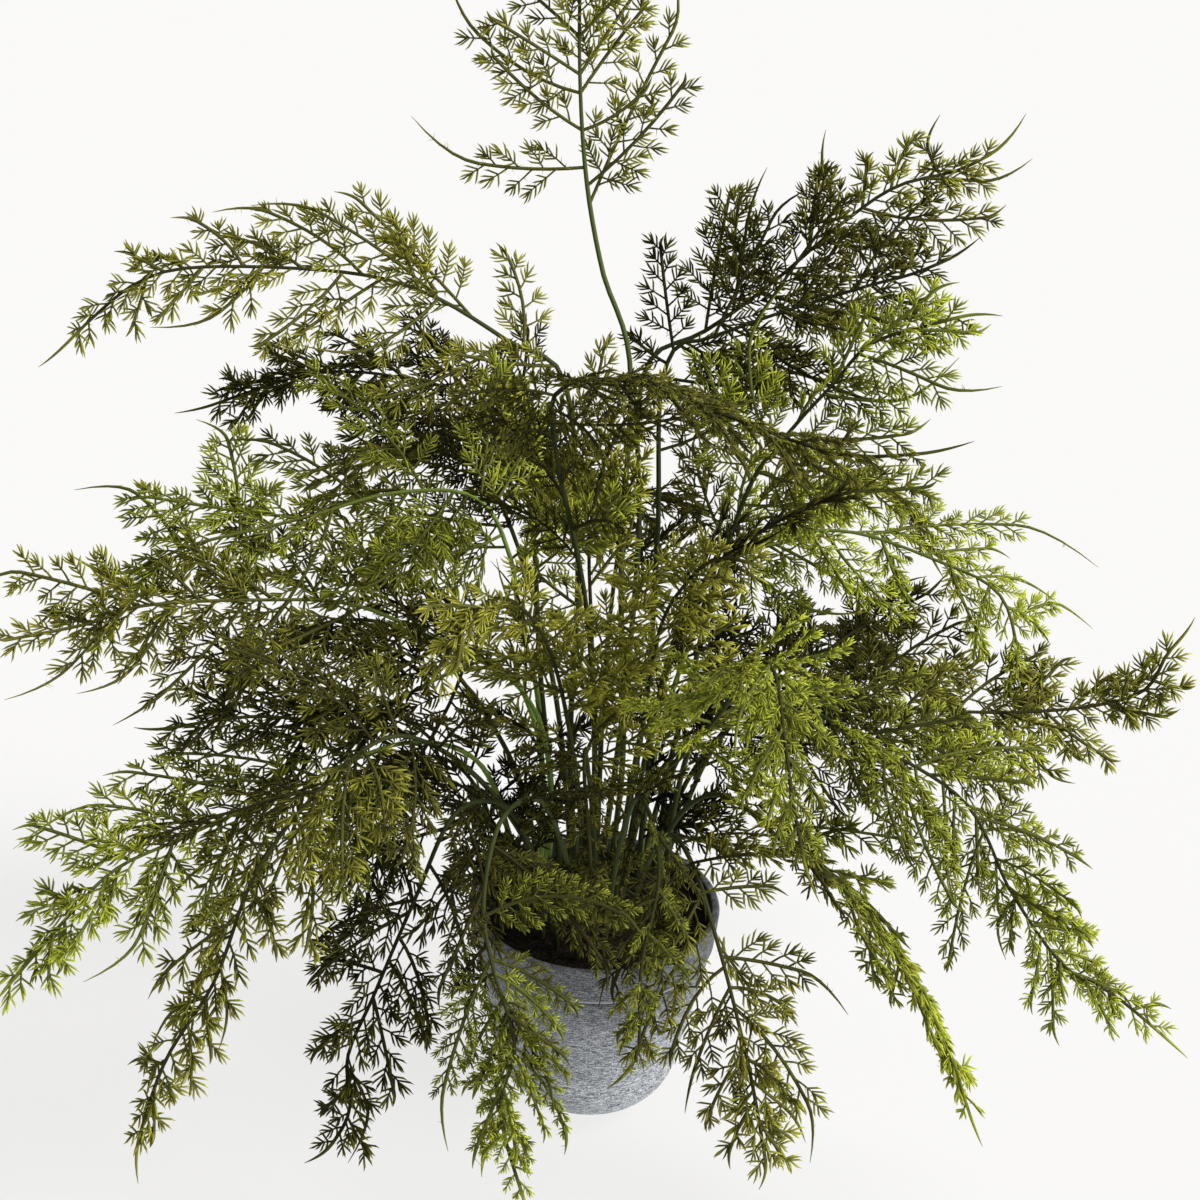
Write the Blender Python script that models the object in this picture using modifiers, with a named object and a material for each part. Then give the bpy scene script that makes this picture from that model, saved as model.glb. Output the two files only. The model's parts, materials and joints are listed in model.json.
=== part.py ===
"""Potted asparagus fern: a round stone-effect pot, its soil, and one solid for each frond.

Units are metres, +Z is up, and the origin is the middle of the pot's flat underside.
-Y is the front. A frond is a round stem that becomes a rachis, with pinnae along it.
Each pinna is one thin arched blade, cut to its rib into pinnules, with a bare tail.
"""

import math
import random
from collections import namedtuple

import bmesh
import bpy
import numpy as np
from mathutils import Matrix, Vector
from mathutils.bvhtree import BVHTree

CM = 0.01

# Pot
RIM_RADIUS = 0.0600
POT_HEIGHT = 0.1080
COLLAR_HEIGHT = 0.0180
COLLAR_DRAFT = 0.0015
COLLAR_OVERHANG = 0.0015
BASE_RADIUS = 0.0445
BASE_ROUNDING = 0.0190
WALL = 0.0040
LIP_ROUNDING = 0.0012
POT_STEPS = 32
SHARP_ANGLE = 35
MERGE_DISTANCE = 0.0001

# Soil
SOIL_TOP = 0.0990
SOIL_DOME = 0.0020
SHOULDER_RADIUS_SHARE = 0.55
SHOULDER_HEIGHT_SHARE = 0.7
SOIL_STEPS = 24
GAP = 0.0003
HOLE_BOTTOM = 0.0870
HOLE_TOP = 0.1070
HOLE_SIDES = 5

# Frond
STEM_RADIUS = 0.0015
RACHIS_RADIUS = 0.0011
TIP_RADIUS = 0.0004
STEM_EXIT = 0.0045
UPRIGHT_START = 4
CURVE_STEPS = 16
WELD_DISTANCE = 0.00001
STEM_STEPS = 5
BLADE_STEPS = 8
TAIL_START = 0.90
FIRST_LEAN = 60
LAST_LEAN = 44
LEAN_JITTER = 6
ROOT_JITTER = 0.02
FIRST_SWELL = 0.8
SHORTEST_SHARE = 0.24
LENGTH_SPREAD = (0.82, 1.12)
KEPT_STEP = 3

# Pinna
BLADE_THICKNESS = 0.0008
RIB_HALF_WIDTH = 0.0008
RIB_TAPER = 0.4
FORWARD_BEND = 0.22
RISE = 0.12
BARE_SHARE = 0.07
PINNULE_STEP = 0.0200
PINNULE_LENGTH = 0.0175
PINNULE_SHARE = 0.42
PINNULE_TAPER = 0.35
PINNULE_LEAN = 52
LONG_TAIL = 0.022
SHORT_TAIL = 0.006
LONG_TAIL_CHANCE = 0.5
TAIL_SHARE = 0.45

# Clearing
CLEARANCE = 0.0010
FLOOR_CLEARANCE = 0.0040
TURNS = (0, 14, -14, 28, -28, 42, -42, 60, -60, 80, -80)
SCALES = (1.0, 0.8, 0.6, 0.45)

# A row's root is where the stem meets the soil and its knots are the places that it goes
# through, all in centimetres. The blade starts at that share of the stem's length and
# looks along face. Count is the number of pinnae that the frond has room for. Longest is
# a pinna's length in centimetres and sag its droop. Posed gives some pinnae a lean in
# degrees, and a length and a tail in centimetres. This model makes those and, of the
# rest, one in three.
Frond = namedtuple("Frond", "name root knots blade face count longest sag seed posed",
                   defaults=({},))

FRONDS = (
    Frond("frond_top", (0.5, 0.5),
          ((1, 1, 18), (0.5, 3.5, 27), (0.5, 6.5, 35.5), (-1, 8.5, 39.5), (-2, 10, 44),
           (-2.5, 11.5, 50), (-2.5, 12.5, 57.5)),
          0.68, (0, -0.95, 0.3), 8, 9.5, 0.02, 1,
          {0: (50, 9.5, 1.8), 1: (88, 7.6, 2.8), 2: (70, 3.6, 0.6), 3: (62, 7.0, 2.0),
           4: (45, 7.5, 1.0), 5: (60, 6.0, 1.5), 6: (50, 5.0, 0.8)}),
    Frond("frond_upper_left", (-0.9, 1.2),
          ((-1.5, 2, 18), (-1.5, 3.5, 27), (-2.4, 4.5, 35.3), (-5, 4.5, 37.2),
           (-8.5, 4.5, 39.2), (-12, 4, 40.2), (-18, 4, 40.2), (-21, 4, 39.5),
           (-23.5, 4, 37.5), (-26, 4, 34.8)),
          0.52, (0, -0.75, 0.65), 15, 7.0, 0.06, 2,
          {2: (25, 7, 0.8), 4: (15, 7.5, 2), 5: (50, 4.5, 0.6), 6: (30, 6, 1.6),
           8: (30, 3.5, 0.4), 9: (50, 4.5, 2), 10: (50, 3.5, 0.6)}),
    Frond("frond_upper_left_low", (-1.7, 2.1),
          ((-3, 4, 20), (-4, 6, 29), (-6.5, 7.5, 33), (-10.5, 8, 34), (-14, 8, 34),
           (-17, 8, 33), (-20.5, 8, 31.5)),
          0.48, (0, -0.6, 0.8), 12, 7.0, 0.15, 3,
          {6: (40, 4.5, 0.6), 7: (55, 3.5, 0.6), 8: (45, 4, 0.6), 9: (15, 3, 1),
           10: (20, 3.5, 0.6)}),
    Frond("frond_left_high", (-2.5, 1.1),
          ((-3, 1, 20.5), (-4, 1, 25), (-4.5, 0.5, 28.5), (-6, 0, 31.5), (-9.5, -1, 32),
           (-13.5, -2, 31), (-18, -3, 30), (-21, -3, 28.5), (-23.5, -3, 29)),
          0.46, (0.1, -0.6, 0.8), 14, 8.0, 0.06, 4,
          {6: (55, 6, 1.8), 8: (35, 7, 1.2), 10: (105, 6.5, 1.5), 11: (20, 4.5, 0.5),
           12: (75, 6, 2.2)}),
    Frond("frond_left_mid", (-2.7, 0.1),
          ((-2.7, -0.2, 18), (-3.5, -1, 22), (-4.5, -2, 24), (-7.5, -3, 26), (-11, -4, 28),
           (-15, -5, 28.5), (-19.5, -6, 28.5), (-22, -6, 27.5), (-25.5, -7, 27)),
          0.42, (0, -0.5, 0.85), 15, 8.0, 0.10, 5,
          {9: (55, 6.5, 1.6), 10: (65, 2.5, 0.5), 11: (65, 5, 1.6), 12: (40, 7, 1.8),
           13: (45, 4.5, 2)}),
    Frond("frond_left_low", (-2.4, -0.9),
          ((-2.2, -2, 17), (-2.8, -3, 22), (-4.5, -4, 25), (-6.5, -5, 25.5), (-9, -6, 24.5),
           (-11.5, -7, 24), (-15, -8, 24.5), (-19.5, -9, 24)),
          0.42, (0, -0.6, 0.8), 12, 8.0, 0.15, 6,
          {4: (65, 5.5, 0.6), 5: (30, 4, 0.6), 8: (50, 5.5, 0.5), 10: (50, 3, 0.5)}),
    Frond("frond_left_droop_high", (-3.3, -1.7),
          ((-4, -2.5, 15.5), (-5.5, -4, 20.5), (-8.5, -7, 23), (-12.5, -10, 22.5),
           (-17, -13, 21.5), (-19.5, -14, 20.5), (-21.5, -15, 18.5), (-24, -16, 15.5)),
          0.38, (-0.2, -0.6, 0.8), 14, 8.5, 0.10, 7,
          {6: (55, 6, 0.8), 8: (50, 6, 2), 9: (50, 5, 1.5), 10: (65, 5, 0.5),
           12: (85, 2, 0.5)}),
    Frond("frond_left_droop", (-2.4, -2.3),
          ((-3, -3.5, 15.5), (-5.5, -6, 21), (-8.5, -9, 24.5), (-11, -12, 24),
           (-13.5, -15, 21.5), (-15, -17, 17.5), (-17, -18, 14), (-18.5, -19, 9)),
          0.38, (-0.5, -0.7, 0.5), 14, 7.5, 0.12, 8,
          {7: (65, 2.2, 0.8), 8: (45, 4, 0.8), 9: (50, 2.5, 1.2), 10: (45, 2.5, 1.2),
           12: (80, 2, 1)}),
    Frond("frond_left_shadow", (-3.8, -0.5),
          ((-4.5, -1, 14), (-6, -2, 18.5), (-8, -3, 20), (-9.5, -4, 18), (-10, -5, 15),
           (-11, -6, 12.5), (-13, -7, 12)),
          0.30, (-0.3, -0.9, 0.3), 12, 7.0, 0.12, 9,
          {8: (45, 2.5, 1.2)}),
    Frond("frond_front_left", (-1.7, -3.1),
          ((-2.5, -4.5, 15), (-4, -7, 20), (-6, -10, 21.5), (-7.5, -12, 18.5),
           (-9, -14, 15), (-10, -15, 12.5), (-10, -15, 9.5), (-11.5, -15, 6.5)),
          0.40, (-0.3, -0.9, 0.4), 12, 7.0, 0.12, 10,
          {3: (55, 4.5, 0.6), 4: (60, 4.5, 1), 6: (95, 3.5, 1.6)}),
    Frond("frond_front_drape_left", (-0.7, -3.8),
          ((-1.2, -5, 15.5), (-2.5, -8, 21), (-4, -12, 22.5), (-4.5, -15, 20.5),
           (-4, -16, 18), (-3, -17, 15), (-3.5, -17, 11.5), (-2, -17.5, 6)),
          0.40, (-0.2, -0.95, 0.2), 14, 7.5, 0.10, 11,
          {4: (20, 4, 0.6), 5: (100, 6.5, 0.6), 6: (35, 6.5, 1.6), 7: (20, 4.5, 1.6),
           10: (10, 4, 0.6)}),
    Frond("frond_front_drape", (0.5, -3.8),
          ((0.9, -5, 16.5), (1.5, -9, 22), (2.2, -12, 22.5), (2.5, -13, 20.5),
           (2, -14, 17.5), (2, -14, 15), (2, -14, 12.5), (1, -14, 10.5)),
          0.44, (0.6, -0.8, 0.2), 12, 5.0, 0.12, 12,
          {5: (45, 3, 0.5), 6: (35, 3.5, 1.5), 9: (25, 3, 1.2)}),
    Frond("frond_front_centre", (0.1, -2.5),
          ((-0.2, -4, 17), (-0.7, -8, 23.5), (-0.7, -11, 24), (-0.3, -12.5, 21),
           (0, -13, 17)),
          0.40, (0, -0.9, 0.4), 11, 6.0, 0.12, 13),
    Frond("frond_front_right", (1.7, -3.2),
          ((2, -4, 14.5), (3, -7, 19), (4, -10, 19.5), (5, -12, 17.5), (6, -13, 14.5),
           (7, -14, 11), (8, -15, 6.5)),
          0.38, (0.2, -0.95, 0.3), 12, 7.5, 0.08, 14,
          {3: (95, 3.5, 0.8), 5: (75, 5, 1.8), 6: (45, 4.5, 1.6), 7: (25, 6, 1.5),
           10: (45, 2.5, 0.5), 11: (30, 3, 0.5)}),
    Frond("frond_front_right_high", (1.1, -1.7),
          ((2, -4, 19), (3.5, -6, 22.5), (5, -8, 26), (5.5, -10, 29), (6.5, -12, 30),
           (7, -14, 28), (7.5, -15, 25.5), (8.5, -15, 21.5)),
          0.45, (0.4, -0.85, 0.3), 12, 6.5, 0.20, 15),
    Frond("frond_right_droop_low", (2.7, -2.3),
          ((2.8, -3, 15), (3.8, -4, 18.5), (5.5, -6, 20.5), (8, -8, 19.5), (11, -10, 18),
           (13.5, -11, 15), (15.5, -12, 11.5), (17, -13, 8)),
          0.42, (0.63, 0.20, 0.70), 14, 6.5, 0.08, 16),
    Frond("frond_right_droop", (3.4, -1.1),
          ((3.4, -1, 16), (4.5, -2, 22), (7.5, -3, 24), (10.5, -5, 23.5), (15.5, -7, 21.5),
           (18, -8, 17.5), (20.5, -9, 14.5), (23, -9, 13), (26.5, -10, 10.5)),
          0.38, (0.1, -0.6, 0.8), 16, 7.5, 0.12, 17,
          {2: (45, 5, 1.6), 6: (60, 4.5, 1.6), 7: (35, 5, 0.8), 9: (50, 4.5, 2),
           10: (70, 2, 0.9), 13: (15, 3, 0.8)}),
    Frond("frond_right_mid", (3.5, 0.1),
          ((3, 0.8, 15), (4, 1, 19), (7.5, 1, 21.5), (10.5, 1, 21.5), (13.5, 0, 22),
           (18, 0, 22), (22, 0, 22.5), (24.5, 0, 23.5), (25.3, 0, 25.5), (26.5, 0, 27)),
          0.38, (0, -0.7, 0.7), 15, 7.0, 0.08, 18,
          {4: (25, 5.5, 0.6), 5: (60, 4, 0.6), 8: (55, 4, 0.8), 9: (60, 3.5, 0.5)}),
    Frond("frond_right_dark", (3.0, 1.4),
          ((4, 2.6, 14), (5.5, 4.5, 17), (8, 6, 19.5), (9.5, 7, 20.2), (12, 8, 21),
           (14, 9, 22.5), (15.5, 9, 23.5), (16.5, 9, 24.5)),
          0.38, (0, -0.6, 0.8), 11, 7.0, 0.08, 19),
    Frond("frond_right_high_droop", (2.0, 0.7),
          ((2.5, 2, 17.5), (4, 4, 23), (6, 5, 27), (10.5, 5, 28.5), (15.5, 4, 27.5),
           (18, 3, 26.5), (19, 2, 24), (19.5, 1, 21.5), (20.5, 0, 18)),
          0.42, (0.3, -0.6, 0.7), 15, 6.5, 0.18, 20,
          {5: (35, 9, 2.5), 7: (40, 3.5, 0.6), 9: (35, 3, 1.2), 11: (105, 4, 1.4),
           14: (65, 1.5, 0.5)}),
    Frond("frond_right_brush", (1.9, -0.4),
          ((2.3, 0, 20), (3, -1, 25.5), (4.5, -1, 29), (6.5, -1, 31), (9, -1, 32.5),
           (11.5, -1, 33.5)),
          0.48, (-0.45, 0.15, 0.85), 11, 6.5, 0.15, 21),
    Frond("frond_centre_arch", (-0.4, -1.2),
          ((-0.3, -3, 20), (-1, -3, 28), (-2.5, -4, 35.5), (-2.5, -5, 38.5),
           (0, -6, 39.5), (3, -7, 39), (7, -8, 38), (9.5, -8, 37.5), (14, -8, 38)),
          0.56, (0.1, 0.35, 0.9), 12, 7.0, 0.42, 22),
    Frond("frond_upper_right", (1.0, 1.9),
          ((2, 4, 19.5), (2.2, 7, 27), (2, 9, 33), (2.6, 9.5, 35.5), (4, 9.5, 36),
           (7.5, 9.5, 37.5), (11.5, 9.5, 39), (13.5, 10, 39.5), (16.5, 10, 41)),
          0.60, (0, -0.8, 0.6), 12, 8.5, 0.03, 23,
          {1: (100, 2.5, 0.4), 2: (75, 5.5, 0.6), 3: (60, 7.5, 1.8), 5: (45, 6.5, 0.6),
           6: (35, 3, 0.5), 9: (45, 5.5, 0.6)}),
    Frond("frond_upper_right_top", (0.2, 1.9),
          ((1, 4, 20), (1.3, 7, 27), (1, 9.5, 32), (1.6, 11, 34.5), (4, 12, 35.5),
           (7, 12, 38), (10, 12, 41), (12.5, 12, 43), (15.5, 12, 44), (18.5, 12, 46)),
          0.58, (0, -0.85, 0.5), 14, 7.5, 0.0, 33,
          {5: (105, 3.5, 0.6), 9: (85, 4, 1.8), 10: (35, 5.5, 0.6), 12: (35, 4, 1.6),
           13: (105, 2.5, 1.1)}),
    Frond("frond_upper_right_low", (2.0, 2.0),
          ((3.5, 3, 18), (4.8, 4, 25), (6.2, 4, 31), (8, 4, 34), (9.5, 4, 36), (11, 4, 38),
           (13.5, 4, 39), (16.5, 4, 40)),
          0.56, (0, -0.8, 0.6), 12, 8.0, 0.05, 24,
          {4: (55, 5.5, 0.8), 7: (20, 4, 0.6), 8: (60, 5.5, 2), 9: (15, 4, 0.8),
           10: (20, 3, 0.6)}),
    Frond("frond_centre", (-0.5, 0.0),
          ((-0.2, 0, 15), (-0.3, 0.2, 18.5), (-0.7, 1, 24.5), (-1, 2, 29), (-0.5, 3, 32),
           (0.5, 3, 34.5), (2.5, 3, 36.5)),
          0.34, (0, -0.95, 0.3), 14, 6.5, 0.05, 25),
    Frond("frond_centre_left", (-0.6, -2.0),
          ((-0.8, -3.2, 17), (-1.5, -5, 23), (-2.5, -7, 28), (-4, -9, 31), (-5.5, -10.5, 31),
           (-7, -12, 28.5)),
          0.40, (-0.1, -0.9, 0.4), 12, 7.0, 0.12, 31),
    Frond("frond_centre_right", (0.9, -0.6),
          ((1.3, -1.5, 17), (1.8, -3, 23), (2.2, -5, 28), (3, -7, 31), (4.2, -8.5, 33),
           (6, -10, 33.5)),
          0.40, (0.1, -0.9, 0.4), 12, 7.0, 0.12, 32),
    Frond("frond_back_left_high", (-1.2, 3.1),
          ((-2.5, 5, 20), (-5.5, 9, 27.5), (-9, 12, 29), (-13, 14.5, 26.5),
           (-16, 16.5, 22)),
          0.45, (-0.4, 0.4, 0.8), 12, 8.0, 0.12, 26),
    Frond("frond_back_centre", (0.0, 3.8),
          ((0, 6, 20), (0.5, 10, 26), (1, 14, 26.5), (1.5, 18, 23), (2, 20.5, 17)),
          0.45, (0, 0.4, 0.9), 12, 8.0, 0.12, 27),
    Frond("frond_back_right_high", (1.4, 3.2),
          ((3, 6, 20), (6.5, 10, 27), (10.5, 12.5, 28.5), (14.5, 15, 26), (17.5, 17, 21)),
          0.45, (0.4, 0.4, 0.8), 12, 8.0, 0.12, 28),
    Frond("frond_back_left_low", (-2.8, 2.9),
          ((-4.5, 4.5, 16), (-9, 7.5, 20.5), (-14, 10, 20), (-18, 12, 16), (-20.5, 14, 11)),
          0.40, (-0.3, 0.2, 0.9), 12, 8.0, 0.12, 29),
    Frond("frond_back_right_low", (2.9, 2.8),
          ((4.5, 4.5, 15.5), (9, 7.5, 19.5), (14, 10.5, 19), (18, 12.5, 15.5),
           (20.5, 14.5, 10.5)),
          0.40, (0.3, 0.2, 0.9), 12, 8.0, 0.12, 30),
)

# Fronds of a lighter yellow-green, and of a darker green, than the rest
LIGHT_FRONDS = (
    "frond_front_right_high", "frond_front_drape", "frond_right_droop",
    "frond_right_high_droop", "frond_right_droop_low", "frond_upper_right_low",
    "frond_left_high", "frond_left_droop_high", "frond_front_drape_left")
DARK_FRONDS = (
    "frond_upper_left_low", "frond_left_shadow", "frond_front_left", "frond_right_dark",
    "frond_right_brush", "frond_centre_arch", "frond_upper_right", "frond_left_low",
    "frond_back_centre", "frond_back_left_low", "frond_back_right_low")


def clear_scene():
    for thing in list(bpy.data.objects):
        bpy.data.objects.remove(thing, do_unlink=True)


def new_collection(name):
    group = bpy.data.collections.new(name)
    bpy.context.scene.collection.children.link(group)
    return group


def material(name, color, roughness):
    made = bpy.data.materials.new(name)
    made.use_nodes = True
    shader = made.node_tree.nodes["Principled BSDF"]
    shader.inputs["Base Color"].default_value = (*color, 1)
    shader.inputs["Roughness"].default_value = roughness
    made.diffuse_color = (*color, 1)
    return made


def mesh_object(name, mesh, group):
    thing = bpy.data.objects.new(name, mesh)
    group.objects.link(thing)
    return thing


def applied(thing):
    """Gives the object its evaluated mesh and drops its modifiers."""
    graph = bpy.context.evaluated_depsgraph_get()
    mesh = bpy.data.meshes.new_from_object(thing.evaluated_get(graph))
    thing.modifiers.clear()
    thing.data = mesh
    return thing


def pot_profile():
    """The pot's section: down the outside from the lip, under the base, up the inside."""
    collar_bottom = POT_HEIGHT - COLLAR_HEIGHT
    wall_top = RIM_RADIUS - COLLAR_DRAFT - COLLAR_OVERHANG
    points = [
        (RIM_RADIUS - WALL / 2, POT_HEIGHT),
        (RIM_RADIUS - LIP_ROUNDING, POT_HEIGHT),
        (RIM_RADIUS, POT_HEIGHT - LIP_ROUNDING),
        (RIM_RADIUS - COLLAR_DRAFT, collar_bottom),
        (wall_top, collar_bottom - COLLAR_OVERHANG / 2),
    ]
    middle = BASE_RADIUS - BASE_ROUNDING
    for angle in (0, 30, 60, 90):
        turn = math.radians(angle)
        points.append((middle + BASE_ROUNDING * math.cos(turn),
                       BASE_ROUNDING * (1 - math.sin(turn))))
    points += [(0, 0), (0, WALL)]
    points += [(middle, WALL)] + inner_wall()
    points.append((RIM_RADIUS - WALL + LIP_ROUNDING, POT_HEIGHT))
    return points


def inner_wall():
    """The inside of the pot, from the edge of its floor to just under the lip."""
    middle = BASE_RADIUS - BASE_ROUNDING
    inner = BASE_ROUNDING - WALL
    halfway = inner * math.sqrt(0.5)
    return [
        (middle + halfway, BASE_ROUNDING - halfway),
        (middle + inner, BASE_ROUNDING),
        (RIM_RADIUS - WALL, POT_HEIGHT - LIP_ROUNDING),
    ]


def turned(name, profile, group, steps):
    """A solid turned about Z from its section in the XZ plane."""
    mesh = bpy.data.meshes.new(name)
    edges = [(k, k + 1) for k in range(len(profile) - 1)]
    mesh.from_pydata([(radius, 0, height) for radius, height in profile], edges, [])
    thing = mesh_object(name, mesh, group)
    screw = thing.modifiers.new("Turn", "SCREW")
    screw.steps = steps
    screw.render_steps = steps
    screw.use_merge_vertices = True
    screw.merge_threshold = MERGE_DISTANCE
    return thing


def smooth_round(thing):
    thing.data.shade_smooth()
    thing.data.set_sharp_from_angle(angle=math.radians(SHARP_ANGLE))


def make_pot(group):
    profile = pot_profile()
    profile.append(profile[0])
    pot = applied(turned("pot", profile, group, POT_STEPS))
    smooth_round(pot)
    pot.data.materials.append(material("stone_grey", (0.24, 0.27, 0.33), 0.75))
    return pot


def make_soil(group, cutters):
    """A filling for the pot, domed a little, with a plain hole for each stem."""
    floor = WALL + GAP
    sides = []
    for radius, height in inner_wall():
        sides.append((radius - GAP, max(height, floor)))
    low, top = sides[-2], sides[-1]
    share = (SOIL_TOP - low[1]) / (top[1] - low[1])
    edge = low[0] + (top[0] - low[0]) * share
    middle = BASE_RADIUS - BASE_ROUNDING - GAP
    shoulder = (edge * SHOULDER_RADIUS_SHARE, SOIL_TOP + SOIL_DOME * SHOULDER_HEIGHT_SHARE)
    profile = [(0, SOIL_TOP + SOIL_DOME), shoulder, (edge, SOIL_TOP)]
    profile += [low, sides[0], (middle, floor), (0, floor)]
    soil = turned("soil", profile, group, SOIL_STEPS)
    holes = bmesh.new()
    hole_radius = (STEM_RADIUS + GAP) / math.cos(math.pi / HOLE_SIDES)
    for frond in FRONDS:
        center = (frond.root[0] * CM, frond.root[1] * CM, (HOLE_BOTTOM + HOLE_TOP) / 2)
        bmesh.ops.create_cone(
            holes, cap_ends=True, segments=HOLE_SIDES, depth=HOLE_TOP - HOLE_BOTTOM,
            radius1=hole_radius, radius2=hole_radius, matrix=Matrix.Translation(center))
    mesh = bpy.data.meshes.new("stem_holes")
    holes.to_mesh(mesh)
    holes.free()
    cutter = mesh_object("stem_holes", mesh, cutters)
    cutter.hide_render = True
    cutter.display_type = "WIRE"
    cut = soil.modifiers.new("Stem holes", "BOOLEAN")
    cut.operation = "DIFFERENCE"
    cut.object = cutter
    soil.data.materials.append(material("dark_soil", (0.02, 0.015, 0.01), 0.95))
    return soil


def smooth_line(knots, shares):
    """Points at these shares of a smooth curve through the knots, nearly upright at first."""
    knots = np.array(knots, float)
    below = knots[0] - (0, 0, UPRIGHT_START)
    beyond = 2 * knots[-1] - knots[-2]
    ends = np.vstack([below, knots, beyond])
    dense = []
    for a, b, c, d in zip(ends, ends[1:], ends[2:], ends[3:]):
        for t in np.linspace(0, 1, CURVE_STEPS, endpoint=False):
            curve = 2 * b + (c - a) * t + (2 * a - 5 * b + 4 * c - d) * t ** 2
            dense.append((curve + (3 * b - a - 3 * c + d) * t ** 3) / 2)
    dense = np.array(dense + [knots[-1]])
    run = np.concatenate([[0], np.cumsum(np.linalg.norm(np.diff(dense, axis=0), axis=1))])
    places = np.array(shares) * run[-1]
    return np.column_stack([np.interp(places, run, dense[:, axis]) for axis in range(3)])


def spine_shares(frond):
    """Where the rachis has its points, as shares of its length above the soil."""
    stem = np.linspace(0, frond.blade, STEM_STEPS, endpoint=False)
    return np.concatenate([stem, np.linspace(frond.blade, 1, BLADE_STEPS)])


def spine_of(frond):
    """The frond's stem and rachis as points, from where it leaves the soil."""
    exit_height = (SOIL_TOP + STEM_EXIT) / CM
    return smooth_line(((*frond.root, exit_height), *frond.knots), spine_shares(frond)) * CM


def unit(vector):
    return vector / np.linalg.norm(vector)


def spine_place(spine, shares, share):
    """The point and the direction at this share of the spine's length."""
    low = int(np.clip(np.searchsorted(shares, share) - 1, 0, len(shares) - 2))
    step = spine[low + 1] - spine[low]
    return spine[low] + step * (share - shares[low]) / (shares[low + 1] - shares[low]), unit(step)


def turned_about(vector, axis, degrees):
    """The vector turned about a unit axis."""
    angle = math.radians(degrees)
    along = axis * np.dot(axis, vector)
    return along + (vector - along) * math.cos(angle) + np.cross(axis, vector) * math.sin(angle)


Pinna = namedtuple("Pinna", "index root out bend normal axis length tail")


def pinnae_of(frond):
    """Every pinna of the frond, from the bare stem to the tail, on alternate sides."""
    rng = random.Random(frond.seed)
    spine, shares = spine_of(frond), spine_shares(frond)
    rows = []
    for index in range(frond.count):
        along = index / (frond.count - 1)
        place = along + rng.uniform(-ROOT_JITTER, ROOT_JITTER)
        share = frond.blade + (TAIL_START - frond.blade) * place
        root, tangent = spine_place(spine, shares, share)
        side = unit(np.cross(tangent, frond.face)) * (-1) ** index
        normal = unit(np.cross(side, tangent))
        lean = FIRST_LEAN + (LAST_LEAN - FIRST_LEAN) * along
        lean += rng.uniform(-LEAN_JITTER, LEAN_JITTER)
        rise = rng.uniform(-RISE, RISE)
        bend = FORWARD_BEND * tangent + rise * normal - np.array((0, 0, frond.sag))
        swell = min(1, FIRST_SWELL + along)
        length = frond.longest * CM * swell * (1 - (1 - SHORTEST_SHARE) * along)
        length *= rng.uniform(*LENGTH_SPREAD)
        tail = LONG_TAIL if rng.random() < LONG_TAIL_CHANCE else SHORT_TAIL
        if index in frond.posed:
            lean, centimetres, bare = frond.posed[index]
            length, tail = centimetres * CM, bare * CM
        turn = math.radians(lean)
        out = math.cos(turn) * tangent + math.sin(turn) * side
        tail = min(tail, TAIL_SHARE * length)
        rows.append(Pinna(index, root, out, bend, normal, tangent, length, tail))
    return rows


def placed(pinna, degrees, scale):
    """The pinna turned about the rachis and shortened."""
    return pinna._replace(
        out=turned_about(pinna.out, pinna.axis, degrees),
        bend=turned_about(pinna.bend, pinna.axis, degrees),
        normal=turned_about(pinna.normal, pinna.axis, degrees),
        length=pinna.length * scale, tail=pinna.tail * scale)


def rib_place(pinna, share):
    """The point, direction and sideways direction at this share of the pinna's rib."""
    point = pinna.root + pinna.length * (pinna.out * share + pinna.bend * share ** 2)
    along = unit(pinna.out + 2 * pinna.bend * share)
    return point, along, unit(np.cross(pinna.normal, along))


def blade_sheet(pinna):
    """The pinna's blade as an open sheet: points, and triangles for the rib and pinnules."""
    leafy = 1 - pinna.tail / pinna.length
    pairs = max(1, round((leafy - BARE_SHARE) * pinna.length / PINNULE_STEP))
    stations = [0] + list(np.linspace(BARE_SHARE, leafy, pairs + 1))
    points = []
    for share in stations:
        point, _, across = rib_place(pinna, share)
        half = RIB_HALF_WIDTH * (1 - RIB_TAPER * share)
        points += [point + across * half, point - across * half]
    faces = []
    for left in range(0, len(points) - 2, 2):
        faces += [(left, left + 1, left + 3), (left, left + 3, left + 2)]
    lean = math.radians(PINNULE_LEAN)
    for pair in range(pairs):
        start, end = stations[pair + 1], stations[pair + 2]
        point, along, across = rib_place(pinna, (start + end) / 2)
        reach = min(PINNULE_LENGTH, PINNULE_SHARE * pinna.length) * (1 - PINNULE_TAPER * start)
        left = 2 * pair + 2
        for sign, first, last in ((1, left, left + 2), (-1, left + 3, left + 1)):
            tip = point + reach * (math.cos(lean) * along + sign * math.sin(lean) * across)
            faces.append((first, last, len(points)))
            points.append(tip)
    tip, _, _ = rib_place(pinna, 1)
    faces.append((2 * pairs + 2, 2 * pairs + 3, len(points)))
    points.append(tip)
    return points, faces


def blade_tree(points, faces, normal):
    """A search tree over a closed blade, with its faces a clearance out from the middle."""
    count = len(points)
    both = [Vector(p + normal * CLEARANCE) for p in points]
    both += [Vector(p - normal * CLEARANCE) for p in points]
    far = [tuple(k + count for k in face) for face in faces]
    edges = {edge for face in faces for edge in zip(face, face[1:] + face[:1])}
    walls = [(a, b, b + count, a + count) for a, b in sorted(edges) if (b, a) not in edges]
    return BVHTree.FromPolygons(both, faces + far + walls)


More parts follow.
